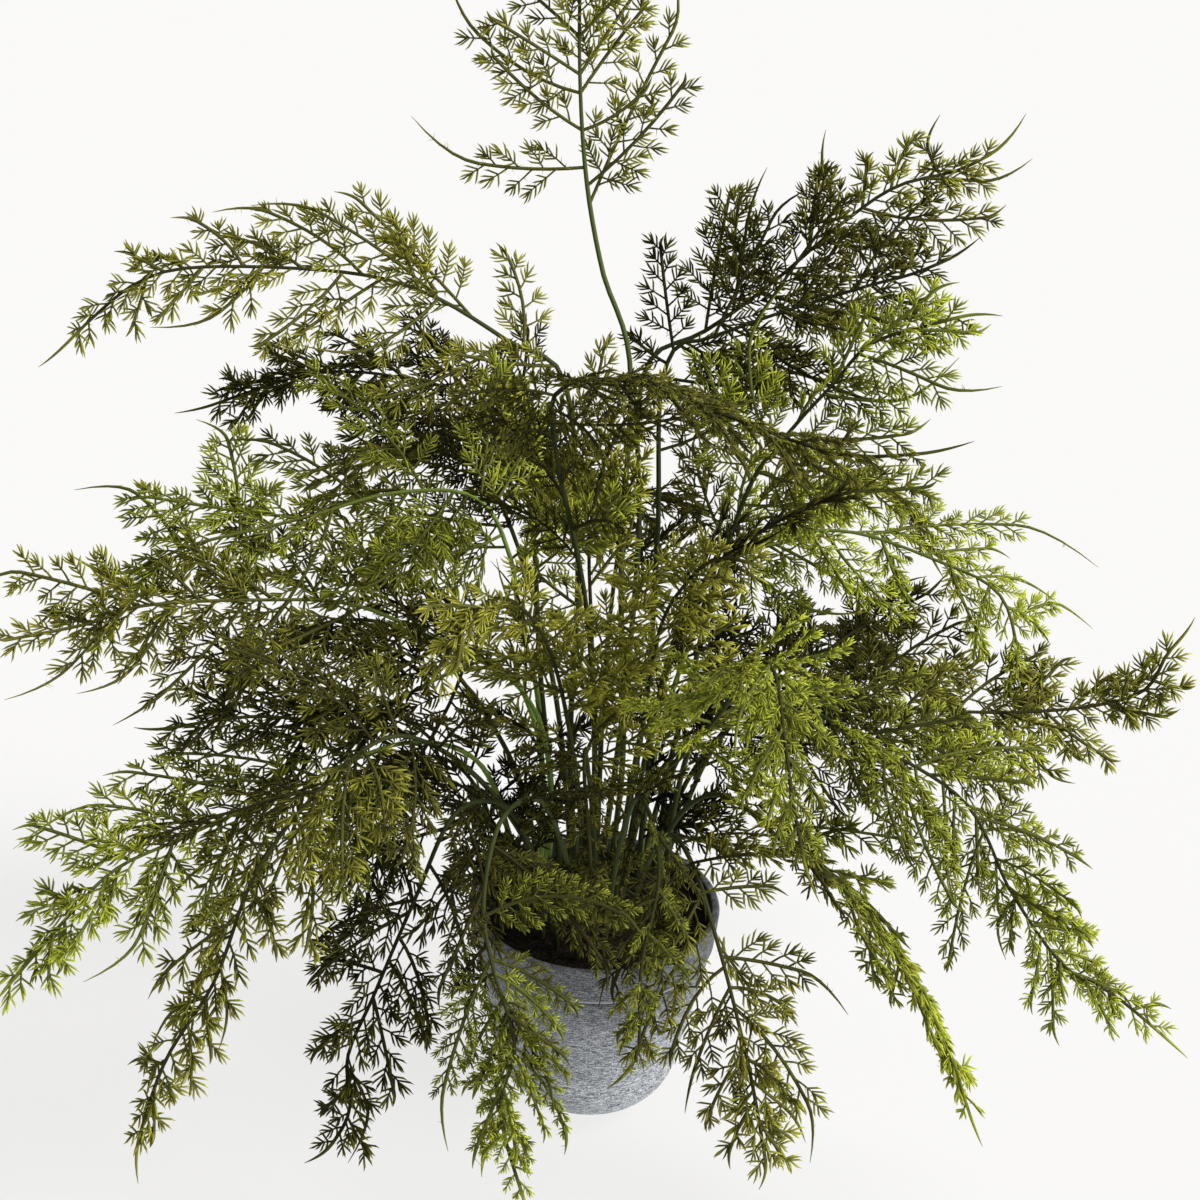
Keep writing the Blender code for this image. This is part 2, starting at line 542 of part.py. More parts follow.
def stem_radii(frond):
    """The tube's radius at each spine point: stem, then rachis, then a fine tip."""
    radii = []
    for place in spine_shares(frond):
        if place < frond.blade:
            radii.append(STEM_RADIUS + (RACHIS_RADIUS - STEM_RADIUS) * place / frond.blade)
        else:
            share = (place - frond.blade) / (1 - frond.blade)
            radii.append(RACHIS_RADIUS + (TIP_RADIUS - RACHIS_RADIUS) * share)
    return radii


def tube(name, points, radii, group):
    """A tube with filled caps along the points, as a closed mesh."""
    curve = bpy.data.curves.new(name, "CURVE")
    curve.dimensions = "3D"
    curve.bevel_depth = 1
    curve.bevel_resolution = 0
    curve.use_fill_caps = True
    line = curve.splines.new("POLY")
    line.points.add(len(points) - 1)
    for place, point, radius in zip(line.points, points, radii):
        place.co = (*point, 1)
        place.radius = radius
    thing = mesh_object(name, curve, group)
    graph = bpy.context.evaluated_depsgraph_get()
    mesh = bpy.data.meshes.new_from_object(thing.evaluated_get(graph))
    bpy.data.objects.remove(thing, do_unlink=True)
    work = bmesh.new()
    work.from_mesh(mesh)
    bmesh.ops.remove_doubles(work, verts=work.verts, dist=WELD_DISTANCE)
    bmesh.ops.recalc_face_normals(work, faces=work.faces)
    work.to_mesh(mesh)
    work.free()
    return mesh_object(name, mesh, group)


def tree_of(thing):
    return BVHTree.FromObject(thing, bpy.context.evaluated_depsgraph_get())


def make_stems(group):
    """Each frond's stem and rachis, and a search tree with a clearance round each."""
    stems, trees = {}, {}
    for frond in FRONDS:
        foot = np.array((frond.root[0] * CM, frond.root[1] * CM, HOLE_BOTTOM + GAP))
        spine, radii = spine_of(frond), stem_radii(frond)
        stems[frond.name] = tube(frond.name, [foot, *spine], [STEM_RADIUS, *radii], group)
        wide = tube("clearance", spine, [radius + CLEARANCE for radius in radii], group)
        trees[frond.name] = tree_of(wide)
        bpy.data.objects.remove(wide, do_unlink=True)
    return stems, trees


def cleared(pinna, others):
    """The pinna's first turn and scale whose blade meets none of the other trees."""
    for scale in SCALES:
        for degrees in TURNS:
            tried = placed(pinna, degrees, scale)
            points, faces = blade_sheet(tried)
            if min(point[2] for point in points) < FLOOR_CLEARANCE:
                continue
            tree = blade_tree(points, faces, tried.normal)
            if not any(tree.overlap(other) for other in others):
                return points, faces, tree
    return None


def blade(name, points, faces, group):
    """A pinna's blade: its open sheet, thickened."""
    mesh = bpy.data.meshes.new(name)
    mesh.from_pydata([Vector(point) for point in points], [], faces)
    thing = mesh_object(name, mesh, group)
    skin = thing.modifiers.new("Thickness", "SOLIDIFY")
    skin.thickness = BLADE_THICKNESS
    skin.offset = 0
    return applied(thing)


def join_all(thing, pieces):
    """One Boolean union of the object with a collection, which is then removed."""
    union = thing.modifiers.new("Pinnae", "BOOLEAN")
    union.operation = "UNION"
    union.solver = "MANIFOLD"
    union.operand_type = "COLLECTION"
    union.collection = pieces
    applied(thing)
    for piece in list(pieces.objects):
        bpy.data.objects.remove(piece, do_unlink=True)
    bpy.data.collections.remove(pieces)


def make_fronds(group, solids):
    """Every frond as one solid, with its pinnae bent clear of the other fronds."""
    stems, stem_trees = make_stems(group)
    fixed = [tree_of(solid) for solid in solids]
    blades = {frond.name: [] for frond in FRONDS}
    light = material("foliage_light", (0.20, 0.24, 0.04), 0.9)
    dark = material("foliage_dark", (0.04, 0.055, 0.015), 0.9)
    plain = material("foliage", (0.10, 0.13, 0.03), 0.9)
    for frond in FRONDS:
        others = list(fixed)
        for name, tree in stem_trees.items():
            if name != frond.name:
                others += [tree] + blades[name]
        pieces = new_collection("pinnae")
        for pinna in pinnae_of(frond):
            if pinna.index not in frond.posed and pinna.index % KEPT_STEP:
                continue
            found = cleared(pinna, others)
            if found:
                points, faces, tree = found
                blade(f"{frond.name}_pinna", points, faces, pieces)
                blades[frond.name].append(tree)
        join_all(stems[frond.name], pieces)
        lit = light if frond.name in LIGHT_FRONDS else plain
        stems[frond.name].data.materials.append(dark if frond.name in DARK_FRONDS else lit)


def main():
    clear_scene()
    parts = new_collection("potted_asparagus_fern")
    cutters = new_collection("cutters")
    pot = make_pot(parts)
    soil = make_soil(parts, cutters)
    make_fronds(parts, [pot, soil])


main()
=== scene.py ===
"""Potted asparagus fern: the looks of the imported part.

Metres, +Z up, -Y the front. Each frond's node is replaced by a finer one that follows the
same stem and pinnae, with its pinnules, tufts of needles, hairs of flock and bare tails as
real shapes. The pot and the soil are replaced too, and grains are strewn on the soil.
"""

import json
import math
import random
from collections import namedtuple

import bpy
import numpy as np
from mathutils import Matrix, Vector, noise
from mathutils.kdtree import KDTree


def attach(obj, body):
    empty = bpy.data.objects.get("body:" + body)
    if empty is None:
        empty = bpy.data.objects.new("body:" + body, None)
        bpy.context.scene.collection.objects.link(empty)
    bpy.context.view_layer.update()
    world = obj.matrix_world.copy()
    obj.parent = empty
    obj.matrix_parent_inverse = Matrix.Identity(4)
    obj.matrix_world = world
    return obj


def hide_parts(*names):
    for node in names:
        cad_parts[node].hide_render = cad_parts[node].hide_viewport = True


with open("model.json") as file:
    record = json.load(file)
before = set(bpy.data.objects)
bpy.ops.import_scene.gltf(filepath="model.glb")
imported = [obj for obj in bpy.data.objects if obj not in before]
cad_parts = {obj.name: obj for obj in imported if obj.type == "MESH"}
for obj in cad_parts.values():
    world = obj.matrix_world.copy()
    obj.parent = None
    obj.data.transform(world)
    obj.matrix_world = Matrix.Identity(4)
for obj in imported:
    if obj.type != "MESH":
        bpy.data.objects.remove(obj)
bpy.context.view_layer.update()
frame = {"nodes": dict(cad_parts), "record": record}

CM = 0.01

# Pot and soil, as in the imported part
RIM_RADIUS = 0.0600
POT_HEIGHT = 0.1080
COLLAR_HEIGHT = 0.0180
COLLAR_DRAFT = 0.0015
COLLAR_OVERHANG = 0.0015
BASE_RADIUS = 0.0445
WALL = 0.0040
LIP_ROUNDING = 0.0012
SOIL_TOP = 0.0990
SOIL_DOME = 0.0020
HOLE_BOTTOM = 0.0870

# Stems and pinnae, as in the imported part
STEM_RADIUS = 0.0015
RACHIS_RADIUS = 0.0011
TIP_RADIUS = 0.0004
STEM_EXIT = 0.0045
UPRIGHT_START = 4
CURVE_STEPS = 16
STEM_STEPS = 5
BLADE_STEPS = 8
TAIL_START = 0.90
FIRST_LEAN = 60
LAST_LEAN = 44
LEAN_JITTER = 6
ROOT_JITTER = 0.02
FIRST_SWELL = 0.8
SHORTEST_SHARE = 0.24
LENGTH_SPREAD = (0.82, 1.12)
KEPT_STEP = 3
FORWARD_BEND = 0.22
RISE = 0.12
BARE_SHARE = 0.07
LONG_TAIL = 0.022
SHORT_TAIL = 0.006
LONG_TAIL_CHANCE = 0.5
TAIL_SHARE = 0.45
TURNS = (0, 14, -14, 28, -28, 42, -42, 60, -60, 80, -80)
SCALES = (1.0, 0.8, 0.6, 0.45)

# A row's root is where the stem meets the soil and its knots are the places that it goes
# through, all in centimetres. The blade starts at that share of the stem's length and
# looks along face. Count is the number of pinnae that the frond has room for. Longest is
# a pinna's length in centimetres and sag its droop. Posed gives some pinnae a lean in
# degrees, and a length and a tail in centimetres. The imported part has those pinnae and, of
# the rest, one in three.
#
# The named fields are for the finer frond alone. Tints go from the blade's root to its
# tip, nought for dark and one for light; they hold the growth's own colour and painted
# light and shade as well, darker near the stem's foot and within the plant where shade
# falls, lighter on sprays that face the light. Scales are the pinnules' length, their gap
# and the needles' size against the usual ones. Leafy is how far along the stem needles
# grow. Full is the share that stands here of the pinnae that the imported part leaves out,
# then how many shorter ones fill the frond, where along the stem they start and how far in
# degrees they turn out of its plane. Skirt is how many low ones hide the stem's foot.
Frond = namedtuple(
    "Frond", "name root knots blade face count longest sag seed posed "
             "tints stem_tint scales leafy full skirt",
    defaults=({}, (0.35, 0.65), 0.02, (1, 1, 1), 0.95, (0.4, 5, 0.44, 40), 0))

FRONDS = (
    Frond("frond_top", (0.5, 0.5),
          ((1, 1, 18), (0.5, 3.5, 27), (0.5, 6.5, 35.5), (-1, 8.5, 39.5), (-2, 10, 44), (-2.5, 11.5, 50),
           (-2.5, 12.5, 57.5)),
          0.68, (0, -0.95, 0.3), 8, 9.5, 0.02, 1,
          {0: (50, 9.5, 1.8), 1: (88, 7.6, 2.8), 2: (70, 3.6, 0.6), 3: (62, 7, 2), 4: (45, 7.5, 1),
           5: (60, 6, 1.5), 6: (50, 5, 0.8)},
          tints=(0.62, 0.85), stem_tint=0.15, scales=(0.75, 1.4, 1), full=(1, 7, 0.7, 25)),
    Frond("frond_upper_left", (-0.9, 1.2),
          ((-1.5, 2, 18), (-1.5, 3.5, 27), (-2.4, 4.5, 35.3), (-5, 4.5, 37.2), (-8.5, 4.5, 39.2),
           (-12, 4, 40.2), (-18, 4, 40.2), (-21, 4, 39.5), (-23.5, 4, 37.5), (-26, 4, 34.8)),
          0.52, (0, -0.75, 0.65), 15, 7, 0.06, 2,
          {2: (25, 7, 0.8), 4: (15, 7.5, 2), 5: (50, 4.5, 0.6), 6: (30, 6, 1.6), 8: (30, 3.5, 0.4),
           9: (50, 4.5, 2), 10: (50, 3.5, 0.6)},
          tints=(0.7, 0.9), scales=(0.9, 1.15, 1), full=(0.8, 9, 0.26, 35)),
    Frond("frond_upper_left_low", (-1.7, 2.1),
          ((-3, 4, 20), (-4, 6, 29), (-6.5, 7.5, 33), (-10.5, 8, 34), (-14, 8, 34), (-17, 8, 33),
           (-20.5, 8, 31.5)),
          0.48, (0, -0.6, 0.8), 12, 7, 0.15, 3,
          {6: (40, 4.5, 0.6), 7: (55, 3.5, 0.6), 8: (45, 4, 0.6), 9: (15, 3, 1), 10: (20, 3.5, 0.6)},
          tints=(0.25, 0.75), full=(0.7, 27, 0.45, 35), skirt=4),
    Frond("frond_left_high", (-2.5, 1.1),
          ((-3, 1, 20.5), (-4, 1, 25), (-4.5, 0.5, 28.5), (-6, 0, 31.5), (-9.5, -1, 32), (-13.5, -2, 31),
           (-18, -3, 30), (-21, -3, 28.5), (-23.5, -3, 29)),
          0.46, (0.1, -0.6, 0.8), 14, 8, 0.06, 4,
          {6: (55, 6, 1.8), 8: (35, 7, 1.2), 10: (105, 6.5, 1.5), 11: (20, 4.5, 0.5), 12: (75, 6, 2.2)},
          tints=(0.45, 0.7), stem_tint=0.7, full=(1, 12, 0.42, 35)),
    Frond("frond_left_mid", (-2.7, 0.1),
          ((-2.7, -0.2, 18), (-3.5, -1, 22), (-4.5, -2, 24), (-7.5, -3, 26), (-11, -4, 28),
           (-15, -5, 28.5), (-19.5, -6, 28.5), (-22, -6, 27.5), (-25.5, -7, 27)),
          0.42, (0, -0.5, 0.85), 15, 8, 0.1, 5,
          {9: (55, 6.5, 1.6), 10: (65, 2.5, 0.5), 11: (65, 5, 1.6), 12: (40, 7, 1.8), 13: (45, 4.5, 2)},
          tints=(0.35, 0.65), stem_tint=1, leafy=0.99, full=(0.7, 12, 0.62, 35)),
    Frond("frond_left_low", (-2.4, -0.9),
          ((-2.2, -2, 17), (-2.8, -3, 22), (-4.5, -4, 25), (-6.5, -5, 25.5), (-9, -6, 24.5),
           (-11.5, -7, 24), (-15, -8, 24.5), (-19.5, -9, 24)),
          0.42, (0, -0.6, 0.8), 12, 8, 0.15, 6,
          {4: (65, 5.5, 0.6), 5: (30, 4, 0.6), 8: (50, 5.5, 0.5), 10: (50, 3, 0.5)},
          tints=(0.25, 0.65), stem_tint=1, full=(0.3, 5, 0.5, 35), skirt=4),
    Frond("frond_left_droop_high", (-3.3, -1.7),
          ((-4, -2.5, 15.5), (-5.5, -4, 20.5), (-8.5, -7, 23), (-12.5, -10, 22.5), (-17, -13, 21.5),
           (-19.5, -14, 20.5), (-21.5, -15, 18.5), (-24, -16, 15.5)),
          0.38, (-0.2, -0.6, 0.8), 14, 8.5, 0.1, 7,
          {6: (55, 6, 0.8), 8: (50, 6, 2), 9: (50, 5, 1.5), 10: (65, 5, 0.5), 12: (85, 2, 0.5)},
          tints=(0.15, 0.85), stem_tint=0.7, leafy=0.985, full=(1, 12, 0.4, 35)),
    Frond("frond_left_droop", (-2.4, -2.3),
          ((-3, -3.5, 15.5), (-5.5, -6, 21), (-8.5, -9, 24.5), (-11, -12, 24), (-13.5, -15, 21.5),
           (-15, -17, 17.5), (-17, -18, 14), (-18.5, -19, 9)),
          0.38, (-0.5, -0.7, 0.5), 14, 7.5, 0.12, 8,
          {7: (65, 2.2, 0.8), 8: (45, 4, 0.8), 9: (50, 2.5, 1.2), 10: (45, 2.5, 1.2), 12: (80, 2, 1)},
          tints=(0.15, 0.85), full=(1, 10, 0.4, 35), skirt=5),
    Frond("frond_left_shadow", (-3.8, -0.5),
          ((-4.5, -1, 14), (-6, -2, 18.5), (-8, -3, 20), (-9.5, -4, 18), (-10, -5, 15), (-11, -6, 12.5),
           (-13, -7, 12)),
          0.3, (-0.3, -0.9, 0.3), 12, 7, 0.12, 9,
          {8: (45, 2.5, 1.2)},
          tints=(0.05, 0.35), full=(0.6, 8, 0.12, 50), skirt=9),
    Frond("frond_front_left", (-1.7, -3.1),
          ((-2.5, -4.5, 15), (-4, -7, 20), (-6, -10, 21.5), (-7.5, -12, 18.5), (-9, -14, 15),
           (-10, -15, 12.5), (-10, -15, 9.5), (-11.5, -15, 6.5)),
          0.4, (-0.3, -0.9, 0.4), 12, 7, 0.12, 10,
          {3: (55, 4.5, 0.6), 4: (60, 4.5, 1), 6: (95, 3.5, 1.6)},
          tints=(0.1, 0.75), full=(1, 5, 0.22, 35), skirt=7),
    Frond("frond_front_drape_left", (-0.7, -3.8),
          ((-1.2, -5, 15.5), (-2.5, -8, 21), (-4, -12, 22.5), (-4.5, -15, 20.5), (-4, -16, 18),
           (-3, -17, 15), (-3.5, -17, 11.5), (-2, -17.5, 6)),
          0.4, (-0.2, -0.95, 0.2), 14, 7.5, 0.1, 11,
          {4: (20, 4, 0.6), 5: (100, 6.5, 0.6), 6: (35, 6.5, 1.6), 7: (20, 4.5, 1.6), 10: (10, 4, 0.6)},
          tints=(-0.5, 1.5), scales=(0.7, 0.62, 0.55), full=(0.1, 18, 0.6, 25)),
    Frond("frond_front_drape", (0.5, -3.8),
          ((0.9, -5, 16.5), (1.5, -9, 22), (2.2, -12, 22.5), (2.5, -13, 20.5), (2, -14, 17.5),
           (2, -14, 15), (2, -14, 12.5), (1, -14, 10.5)),
          0.44, (0.6, -0.8, 0.2), 12, 5, 0.12, 12,
          {5: (45, 3, 0.5), 6: (35, 3.5, 1.5), 9: (25, 3, 1.2)},
          tints=(0, 0.35), scales=(0.66, 0.6, 0.52), full=(0.6, 9, 0.46, 35), skirt=4),
    Frond("frond_front_centre", (0.1, -2.5),
          ((-0.2, -4, 17), (-0.7, -8, 23.5), (-0.7, -11, 24), (-0.3, -12.5, 21), (0, -13, 17)),
          0.4, (0, -0.9, 0.4), 11, 6, 0.12, 13,
          tints=(0.1, 0.35), scales=(0.66, 0.62, 0.52), full=(0.2, 5, 0.34, 40), skirt=8),
    Frond("frond_front_right", (1.7, -3.2),
          ((2, -4, 14.5), (3, -7, 19), (4, -10, 19.5), (5, -12, 17.5), (6, -13, 14.5), (7, -14, 11),
           (8, -15, 6.5)),
          0.38, (0.2, -0.95, 0.3), 12, 7.5, 0.08, 14,
          {3: (95, 3.5, 0.8), 5: (75, 5, 1.8), 6: (45, 4.5, 1.6), 7: (25, 6, 1.5), 10: (45, 2.5, 0.5),
           11: (30, 3, 0.5)},
          tints=(0.25, 0.75), full=(1, 10, 0.4, 35)),
    Frond("frond_front_right_high", (1.1, -1.7),
          ((2, -4, 19), (3.5, -6, 22.5), (5, -8, 26), (5.5, -10, 29), (6.5, -12, 30), (7, -14, 28),
           (7.5, -15, 25.5), (8.5, -15, 21.5)),
          0.45, (0.4, -0.85, 0.3), 12, 6.5, 0.2, 15,
          tints=(0.85, 0.45), scales=(0.76, 0.74, 0.64), full=(1, 19, 0.42, 35)),
    Frond("frond_right_droop_low", (2.7, -2.3),
          ((2.8, -3, 15), (3.8, -4, 18.5), (5.5, -6, 20.5), (8, -8, 19.5), (11, -10, 18), (13.5, -11, 15),
           (15.5, -12, 11.5), (17, -13, 8)),
          0.42, (0.63, 0.2, 0.7), 14, 6.5, 0.08, 16,
          tints=(0.25, 1), full=(1, 12, 0.4, 35)),
    Frond("frond_right_droop", (3.4, -1.1),
          ((3.4, -1, 16), (4.5, -2, 22), (7.5, -3, 24), (10.5, -5, 23.5), (15.5, -7, 21.5),
           (18, -8, 17.5), (20.5, -9, 14.5), (23, -9, 13), (26.5, -10, 10.5)),
          0.38, (0.1, -0.6, 0.8), 16, 7.5, 0.12, 17,
          {2: (45, 5, 1.6), 6: (60, 4.5, 1.6), 7: (35, 5, 0.8), 9: (50, 4.5, 2), 10: (70, 2, 0.9),
           13: (15, 3, 0.8)},
          tints=(0.2, 0.92), scales=(0.85, 0.85, 0.8), full=(1, 25, 0.44, 42)),
    Frond("frond_right_mid", (3.5, 0.1),
          ((3, 0.8, 15), (4, 1, 19), (7.5, 1, 21.5), (10.5, 1, 21.5), (13.5, 0, 22), (18, 0, 22),
           (22, 0, 22.5), (24.5, 0, 23.5), (25.3, 0, 25.5), (26.5, 0, 27)),
          0.38, (0, -0.7, 0.7), 15, 7, 0.08, 18,
          {4: (25, 5.5, 0.6), 5: (60, 4, 0.6), 8: (55, 4, 0.8), 9: (60, 3.5, 0.5)},
          tints=(0.1, 0.95), full=(1, 17, 0.4, 35)),
    Frond("frond_right_dark", (3, 1.4),
          ((4, 2.6, 14), (5.5, 4.5, 17), (8, 6, 19.5), (9.5, 7, 20.2), (12, 8, 21), (14, 9, 22.5),
           (15.5, 9, 23.5), (16.5, 9, 24.5)),
          0.38, (0, -0.6, 0.8), 11, 7, 0.08, 19,
          tints=(0, 0.65), full=(0.5, 22, 0.36, 35), skirt=5),
    Frond("frond_right_high_droop", (2, 0.7),
          ((2.5, 2, 17.5), (4, 4, 23), (6, 5, 27), (10.5, 5, 28.5), (15.5, 4, 27.5), (18, 3, 26.5),
           (19, 2, 24), (19.5, 1, 21.5), (20.5, 0, 18)),
          0.42, (0.3, -0.6, 0.7), 15, 6.5, 0.18, 20,
          {5: (35, 9, 2.5), 7: (40, 3.5, 0.6), 9: (35, 3, 1.2), 11: (105, 4, 1.4), 14: (65, 1.5, 0.5)},
          tints=(0.85, 1), stem_tint=0.6, scales=(0.8, 0.8, 0.78), full=(1, 8, 0.5, 30)),
    Frond("frond_right_brush", (1.9, -0.4),
          ((2.3, 0, 20), (3, -1, 25.5), (4.5, -1, 29), (6.5, -1, 31), (9, -1, 32.5), (11.5, -1, 33.5)),
          0.48, (-0.45, 0.15, 0.85), 11, 6.5, 0.15, 21,
          tints=(0, 0.4), full=(0.6, 7, 0.16, 45), skirt=5),
    Frond("frond_centre_arch", (-0.4, -1.2),
          ((-0.3, -3, 20), (-1, -3, 28), (-2.5, -4, 35.5), (-2.5, -5, 38.5), (0, -6, 39.5), (3, -7, 39),
           (7, -8, 38), (9.5, -8, 37.5), (14, -8, 38)),
          0.56, (0.1, 0.35, 0.9), 12, 7, 0.42, 22,
          tints=(0.6, 0.85), scales=(0.78, 0.76, 0.64), full=(1, 14, 0.4, 50), skirt=4),
    Frond("frond_upper_right", (1, 1.9),
          ((2, 4, 19.5), (2.2, 7, 27), (2, 9, 33), (2.6, 9.5, 35.5), (4, 9.5, 36), (7.5, 9.5, 37.5),
           (11.5, 9.5, 39), (13.5, 10, 39.5), (16.5, 10, 41)),
          0.6, (0, -0.8, 0.6), 12, 8.5, 0.03, 23,
          {1: (100, 2.5, 0.4), 2: (75, 5.5, 0.6), 3: (60, 7.5, 1.8), 5: (45, 6.5, 0.6), 6: (35, 3, 0.5),
           9: (45, 5.5, 0.6)},
          tints=(0.5, 0.6), full=(1, 4, 0.5, 25)),
    Frond("frond_upper_right_top", (0.2, 1.9),
          ((1, 4, 20), (1.3, 7, 27), (1, 9.5, 32), (1.6, 11, 34.5), (4, 12, 35.5), (7, 12, 38),
           (10, 12, 41), (12.5, 12, 43), (15.5, 12, 44), (18.5, 12, 46)),
          0.58, (0, -0.85, 0.5), 14, 7.5, 0, 33,
          {5: (105, 3.5, 0.6), 9: (85, 4, 1.8), 10: (35, 5.5, 0.6), 12: (35, 4, 1.6),
           13: (105, 2.5, 1.1)},
          tints=(0.3, 0.9), full=(1, 7, 0.6, 25)),
    Frond("frond_upper_right_low", (2, 2),
          ((3.5, 3, 18), (4.8, 4, 25), (6.2, 4, 31), (8, 4, 34), (9.5, 4, 36), (11, 4, 38), (13.5, 4, 39),
           (16.5, 4, 40)),
          0.56, (0, -0.8, 0.6), 12, 8, 0.05, 24,
          {4: (55, 5.5, 0.8), 7: (20, 4, 0.6), 8: (60, 5.5, 2), 9: (15, 4, 0.8), 10: (20, 3, 0.6)},
          tints=(0.6, 0.75), full=(0.2, 3, 0.3, 40)),
    Frond("frond_centre", (-0.5, 0),
          ((-0.2, 0, 15), (-0.3, 0.2, 18.5), (-0.7, 1, 24.5), (-1, 2, 29), (-0.5, 3, 32), (0.5, 3, 34.5),
           (2.5, 3, 36.5)),
          0.34, (0, -0.95, 0.3), 14, 6.5, 0.05, 25,
          tints=(1, 1), leafy=0.98, full=(0.8, 5, 0.3, 50)),
    Frond("frond_centre_left", (-0.6, -2),
          ((-0.8, -3.2, 17), (-1.5, -5, 23), (-2.5, -7, 28), (-4, -9, 31), (-5.5, -10.5, 31),
           (-7, -12, 28.5)),
          0.4, (-0.1, -0.9, 0.4), 12, 7, 0.12, 31,
          tints=(1, 1), leafy=0.98, full=(1, 2, 0.35, 45)),
    Frond("frond_centre_right", (0.9, -0.6),
          ((1.3, -1.5, 17), (1.8, -3, 23), (2.2, -5, 28), (3, -7, 31), (4.2, -8.5, 33), (6, -10, 33.5)),
          0.4, (0.1, -0.9, 0.4), 12, 7, 0.12, 32,
          tints=(1, 1), leafy=0.98, full=(1, 4, 0.35, 45)),
    Frond("frond_back_left_high", (-1.2, 3.1),
          ((-2.5, 5, 20), (-5.5, 9, 27.5), (-9, 12, 29), (-13, 14.5, 26.5), (-16, 16.5, 22)),
          0.45, (-0.4, 0.4, 0.8), 12, 8, 0.12, 26,
          full=(1, 3, 0.44, 40)),
    Frond("frond_back_centre", (0, 3.8),
          ((0, 6, 20), (0.5, 10, 26), (1, 14, 26.5), (1.5, 18, 23), (2, 20.5, 17)),
          0.45, (0, 0.4, 0.9), 12, 8, 0.12, 27,
          full=(0.4, 9, 0.4, 40)),
    Frond("frond_back_right_high", (1.4, 3.2),
          ((3, 6, 20), (6.5, 10, 27), (10.5, 12.5, 28.5), (14.5, 15, 26), (17.5, 17, 21)),
          0.45, (0.4, 0.4, 0.8), 12, 8, 0.12, 28,
          full=(0.4, 3, 0.44, 40)),
    Frond("frond_back_left_low", (-2.8, 2.9),
          ((-4.5, 4.5, 16), (-9, 7.5, 20.5), (-14, 10, 20), (-18, 12, 16), (-20.5, 14, 11)),
          0.4, (-0.3, 0.2, 0.9), 12, 8, 0.12, 29),
    Frond("frond_back_right_low", (2.9, 2.8),
          ((4.5, 4.5, 15.5), (9, 7.5, 19.5), (14, 10.5, 19), (18, 12.5, 15.5), (20.5, 14.5, 10.5)),
          0.4, (0.3, 0.2, 0.9), 12, 8, 0.12, 30),
)


def smooth_line(knots, shares):
    """Points at these shares of a smooth curve through the knots, nearly upright at first."""
    knots = np.array(knots, float)
    below = knots[0] - (0, 0, UPRIGHT_START)
    beyond = 2 * knots[-1] - knots[-2]
    ends = np.vstack([below, knots, beyond])
    dense = []
    for a, b, c, d in zip(ends, ends[1:], ends[2:], ends[3:]):
        for t in np.linspace(0, 1, CURVE_STEPS, endpoint=False):
            curve = 2 * b + (c - a) * t + (2 * a - 5 * b + 4 * c - d) * t ** 2
            dense.append((curve + (3 * b - a - 3 * c + d) * t ** 3) / 2)
    dense = np.array(dense + [knots[-1]])
    run = np.concatenate([[0], np.cumsum(np.linalg.norm(np.diff(dense, axis=0), axis=1))])
    places = np.array(shares) * run[-1]
    return np.column_stack([np.interp(places, run, dense[:, axis]) for axis in range(3)])


def knots_of(frond):
    """Where the stem leaves the soil and all the places that it goes through."""
    return ((*frond.root, (SOIL_TOP + STEM_EXIT) / CM), *frond.knots)


def spine_shares(frond):
    """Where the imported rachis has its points, as shares of its length above the soil."""
    stem = np.linspace(0, frond.blade, STEM_STEPS, endpoint=False)
    return np.concatenate([stem, np.linspace(frond.blade, 1, BLADE_STEPS)])


def spine_of(frond):
    """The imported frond's stem and rachis as points, from where it leaves the soil."""
    return smooth_line(knots_of(frond), spine_shares(frond)) * CM


def unit(vector):
    return vector / np.linalg.norm(vector)


def unit_rows(vectors):
    return vectors / np.linalg.norm(vectors, axis=-1, keepdims=True)


def leaning(degrees, along, side):
    """The direction at this angle from along towards side."""
    angle = np.radians(degrees)
    return np.cos(angle) * along + np.sin(angle) * side


def spine_place(spine, shares, share):
    """The point and the direction at this share of the spine's length."""
    low = int(np.clip(np.searchsorted(shares, share) - 1, 0, len(shares) - 2))
    step = spine[low + 1] - spine[low]
    return spine[low] + step * (share - shares[low]) / (shares[low + 1] - shares[low]), unit(step)


def side_and_normal(frond, tangent, index):
    """The side that this pinna grows to, left and right in turn, and its blade's normal."""
    side = unit(np.cross(tangent, frond.face)) * (-1) ** index
    return side, unit(np.cross(side, tangent))


def turned_about(vector, axis, degrees):
    """The vector turned about a unit axis."""
    along = axis * np.dot(axis, vector)
    return along + leaning(degrees, vector - along, np.cross(axis, vector))


Pinna = namedtuple("Pinna", "index root out bend normal axis length tail")


def pinnae_of(frond):
    """Every pinna of the frond, from the bare stem to the tail, on alternate sides."""
    rng = random.Random(frond.seed)
    spine, shares = spine_of(frond), spine_shares(frond)
    for index in range(frond.count):
        along = index / (frond.count - 1)
        place = along + rng.uniform(-ROOT_JITTER, ROOT_JITTER)
        share = frond.blade + (TAIL_START - frond.blade) * place
        root, tangent = spine_place(spine, shares, share)
        side, normal = side_and_normal(frond, tangent, index)
        lean = FIRST_LEAN + (LAST_LEAN - FIRST_LEAN) * along
        lean += rng.uniform(-LEAN_JITTER, LEAN_JITTER)
        rise = rng.uniform(-RISE, RISE)
        bend = FORWARD_BEND * tangent + rise * normal - np.array((0, 0, frond.sag))
        swell = min(1, FIRST_SWELL + along)
        length = frond.longest * CM * swell * (1 - (1 - SHORTEST_SHARE) * along)
        length *= rng.uniform(*LENGTH_SPREAD)
        tail = LONG_TAIL if rng.random() < LONG_TAIL_CHANCE else SHORT_TAIL
        if index in frond.posed:
            lean, centimetres, bare = frond.posed[index]
            length, tail = centimetres * CM, bare * CM
        out = leaning(lean, tangent, side)
        tail = min(tail, TAIL_SHARE * length)
        yield Pinna(index, root, out, bend, normal, tangent, length, tail)


